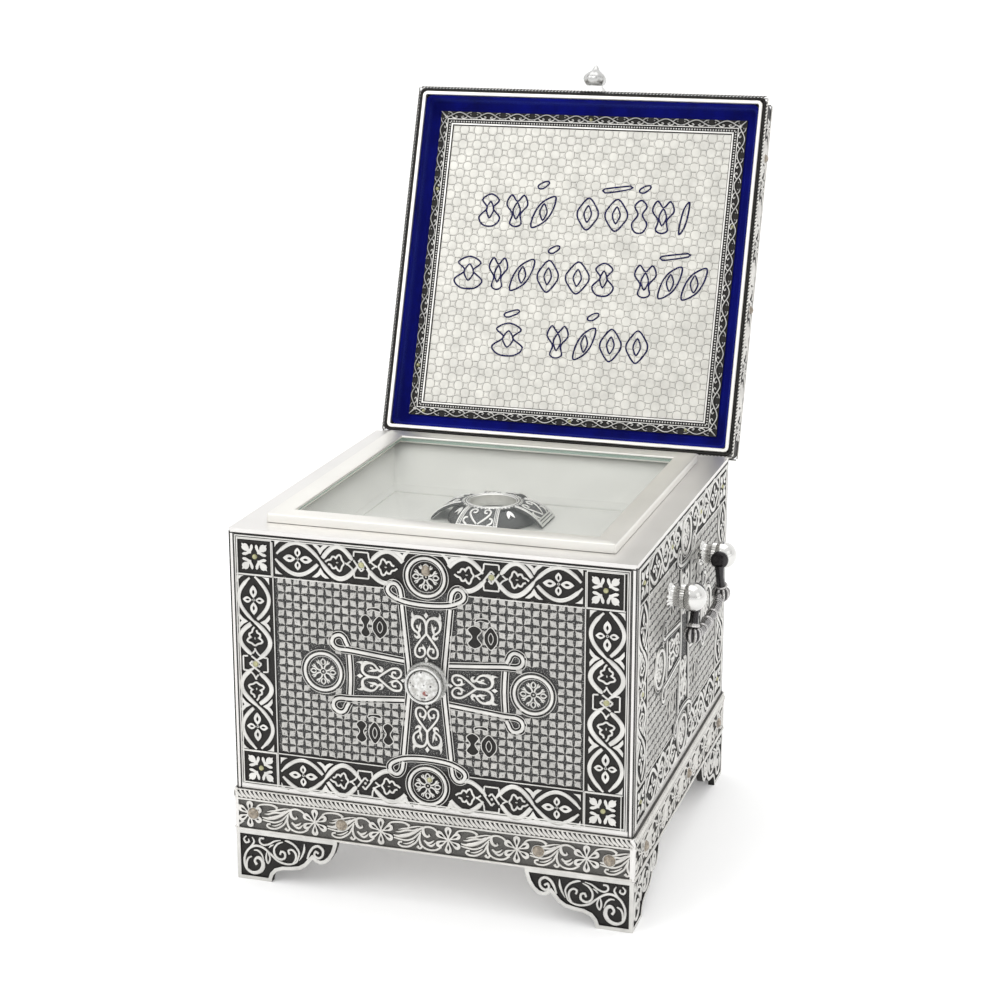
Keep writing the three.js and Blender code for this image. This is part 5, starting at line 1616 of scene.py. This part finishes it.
def stage():
    """A floor that sweeps up behind the casket, and three plain walls far out of the picture."""
    size, bend, radius, high = 24.0, 3.2, 1.4, 6.0
    bow = [k / 12 * PI / 2 for k in range(13)]
    profile = [(-size, 0), *((bend - radius + radius * math.sin(a), radius - radius * math.cos(a)) for a in bow),
               (bend, high)]
    points = [(x, y, z) for y, z in profile for x in (-size, size)]
    faces = quads(len(profile), 2, closed=False)
    for a, b in (((-size, -size), (-size, bend)), ((size, bend), (size, -size)), ((size, -size), (-size, -size))):
        faces.append(tuple(range(len(points), len(points) + 4)))
        points += [(*a, 0), (*b, 0), (*b, high), (*a, high)]
    mesh = bpy.data.meshes.new("floor")
    mesh.from_pydata(points, [], faces)
    mesh.materials.append(floor_material())
    mesh.polygons.foreach_set("use_smooth", [True] * len(faces))
    made = bpy.data.objects.new("floor", mesh)
    scene.collection.objects.link(made)


def area_light(name, place, target, size, power):
    data = bpy.data.lights.new(name, "AREA")
    data.shape = "RECTANGLE"
    data.size, data.size_y = size
    data.energy = power
    made = bpy.data.objects.new(name, data)
    made.location = place
    made.rotation_euler = (Vector(target) - Vector(place)).to_track_quat("-Z", "Y").to_euler()
    scene.collection.objects.link(made)


def lights():
    world = bpy.data.worlds.new("studio")
    world.use_nodes = True
    tree = world.node_tree
    background = tree.nodes["Background"]
    height = node(tree, "ShaderNodeSeparateXYZ", {"Vector": node(tree, "ShaderNodeTexCoord").outputs["Generated"]})
    sky = ramp(tree, span(tree, height.outputs["Z"], 0, 1, -1, 1),
               [(0, 0.7), (0.48, 0.5), (0.6, 0.62), (0.78, 0.95), (1, 1.1)])
    tree.links.new(sky, background.inputs["Color"])
    background.inputs["Strength"].default_value = 1.0
    scene.world = world
    area_light("key", (-1.1, -1.7, 1.7), (0, 0, 0.25), (1.5, 1.5), 11)
    area_light("fill", (2.0, -0.9, 1.1), (0, 0, 0.2), (1.2, 1.6), 2.5)
    area_light("top", (0.1, 0.3, 2.6), (0, 0, 0.2), (2.0, 2.0), 12)


def camera():
    data = bpy.data.cameras.new("camera")
    data.lens = 78.83
    data.sensor_width = 36
    data.dof.use_dof = False
    made = bpy.data.objects.new("camera", data)
    azimuth, elevation = math.radians(17.425), math.radians(15.854)
    level = math.cos(elevation)
    back = Vector((math.sin(azimuth) * level, -math.cos(azimuth) * level, math.sin(elevation)))
    made.location = (0.4504, MIDDLE_Y - 1.4178, DECK + 0.4154)
    made.rotation_mode = "QUATERNION"
    made.rotation_quaternion = (-back).to_track_quat("-Z", "Y")
    data.clip_start, data.clip_end = 0.05, 50
    scene.collection.objects.link(made)
    scene.camera = made


stage()
lights()
camera()
scene.view_settings.view_transform = "Standard"
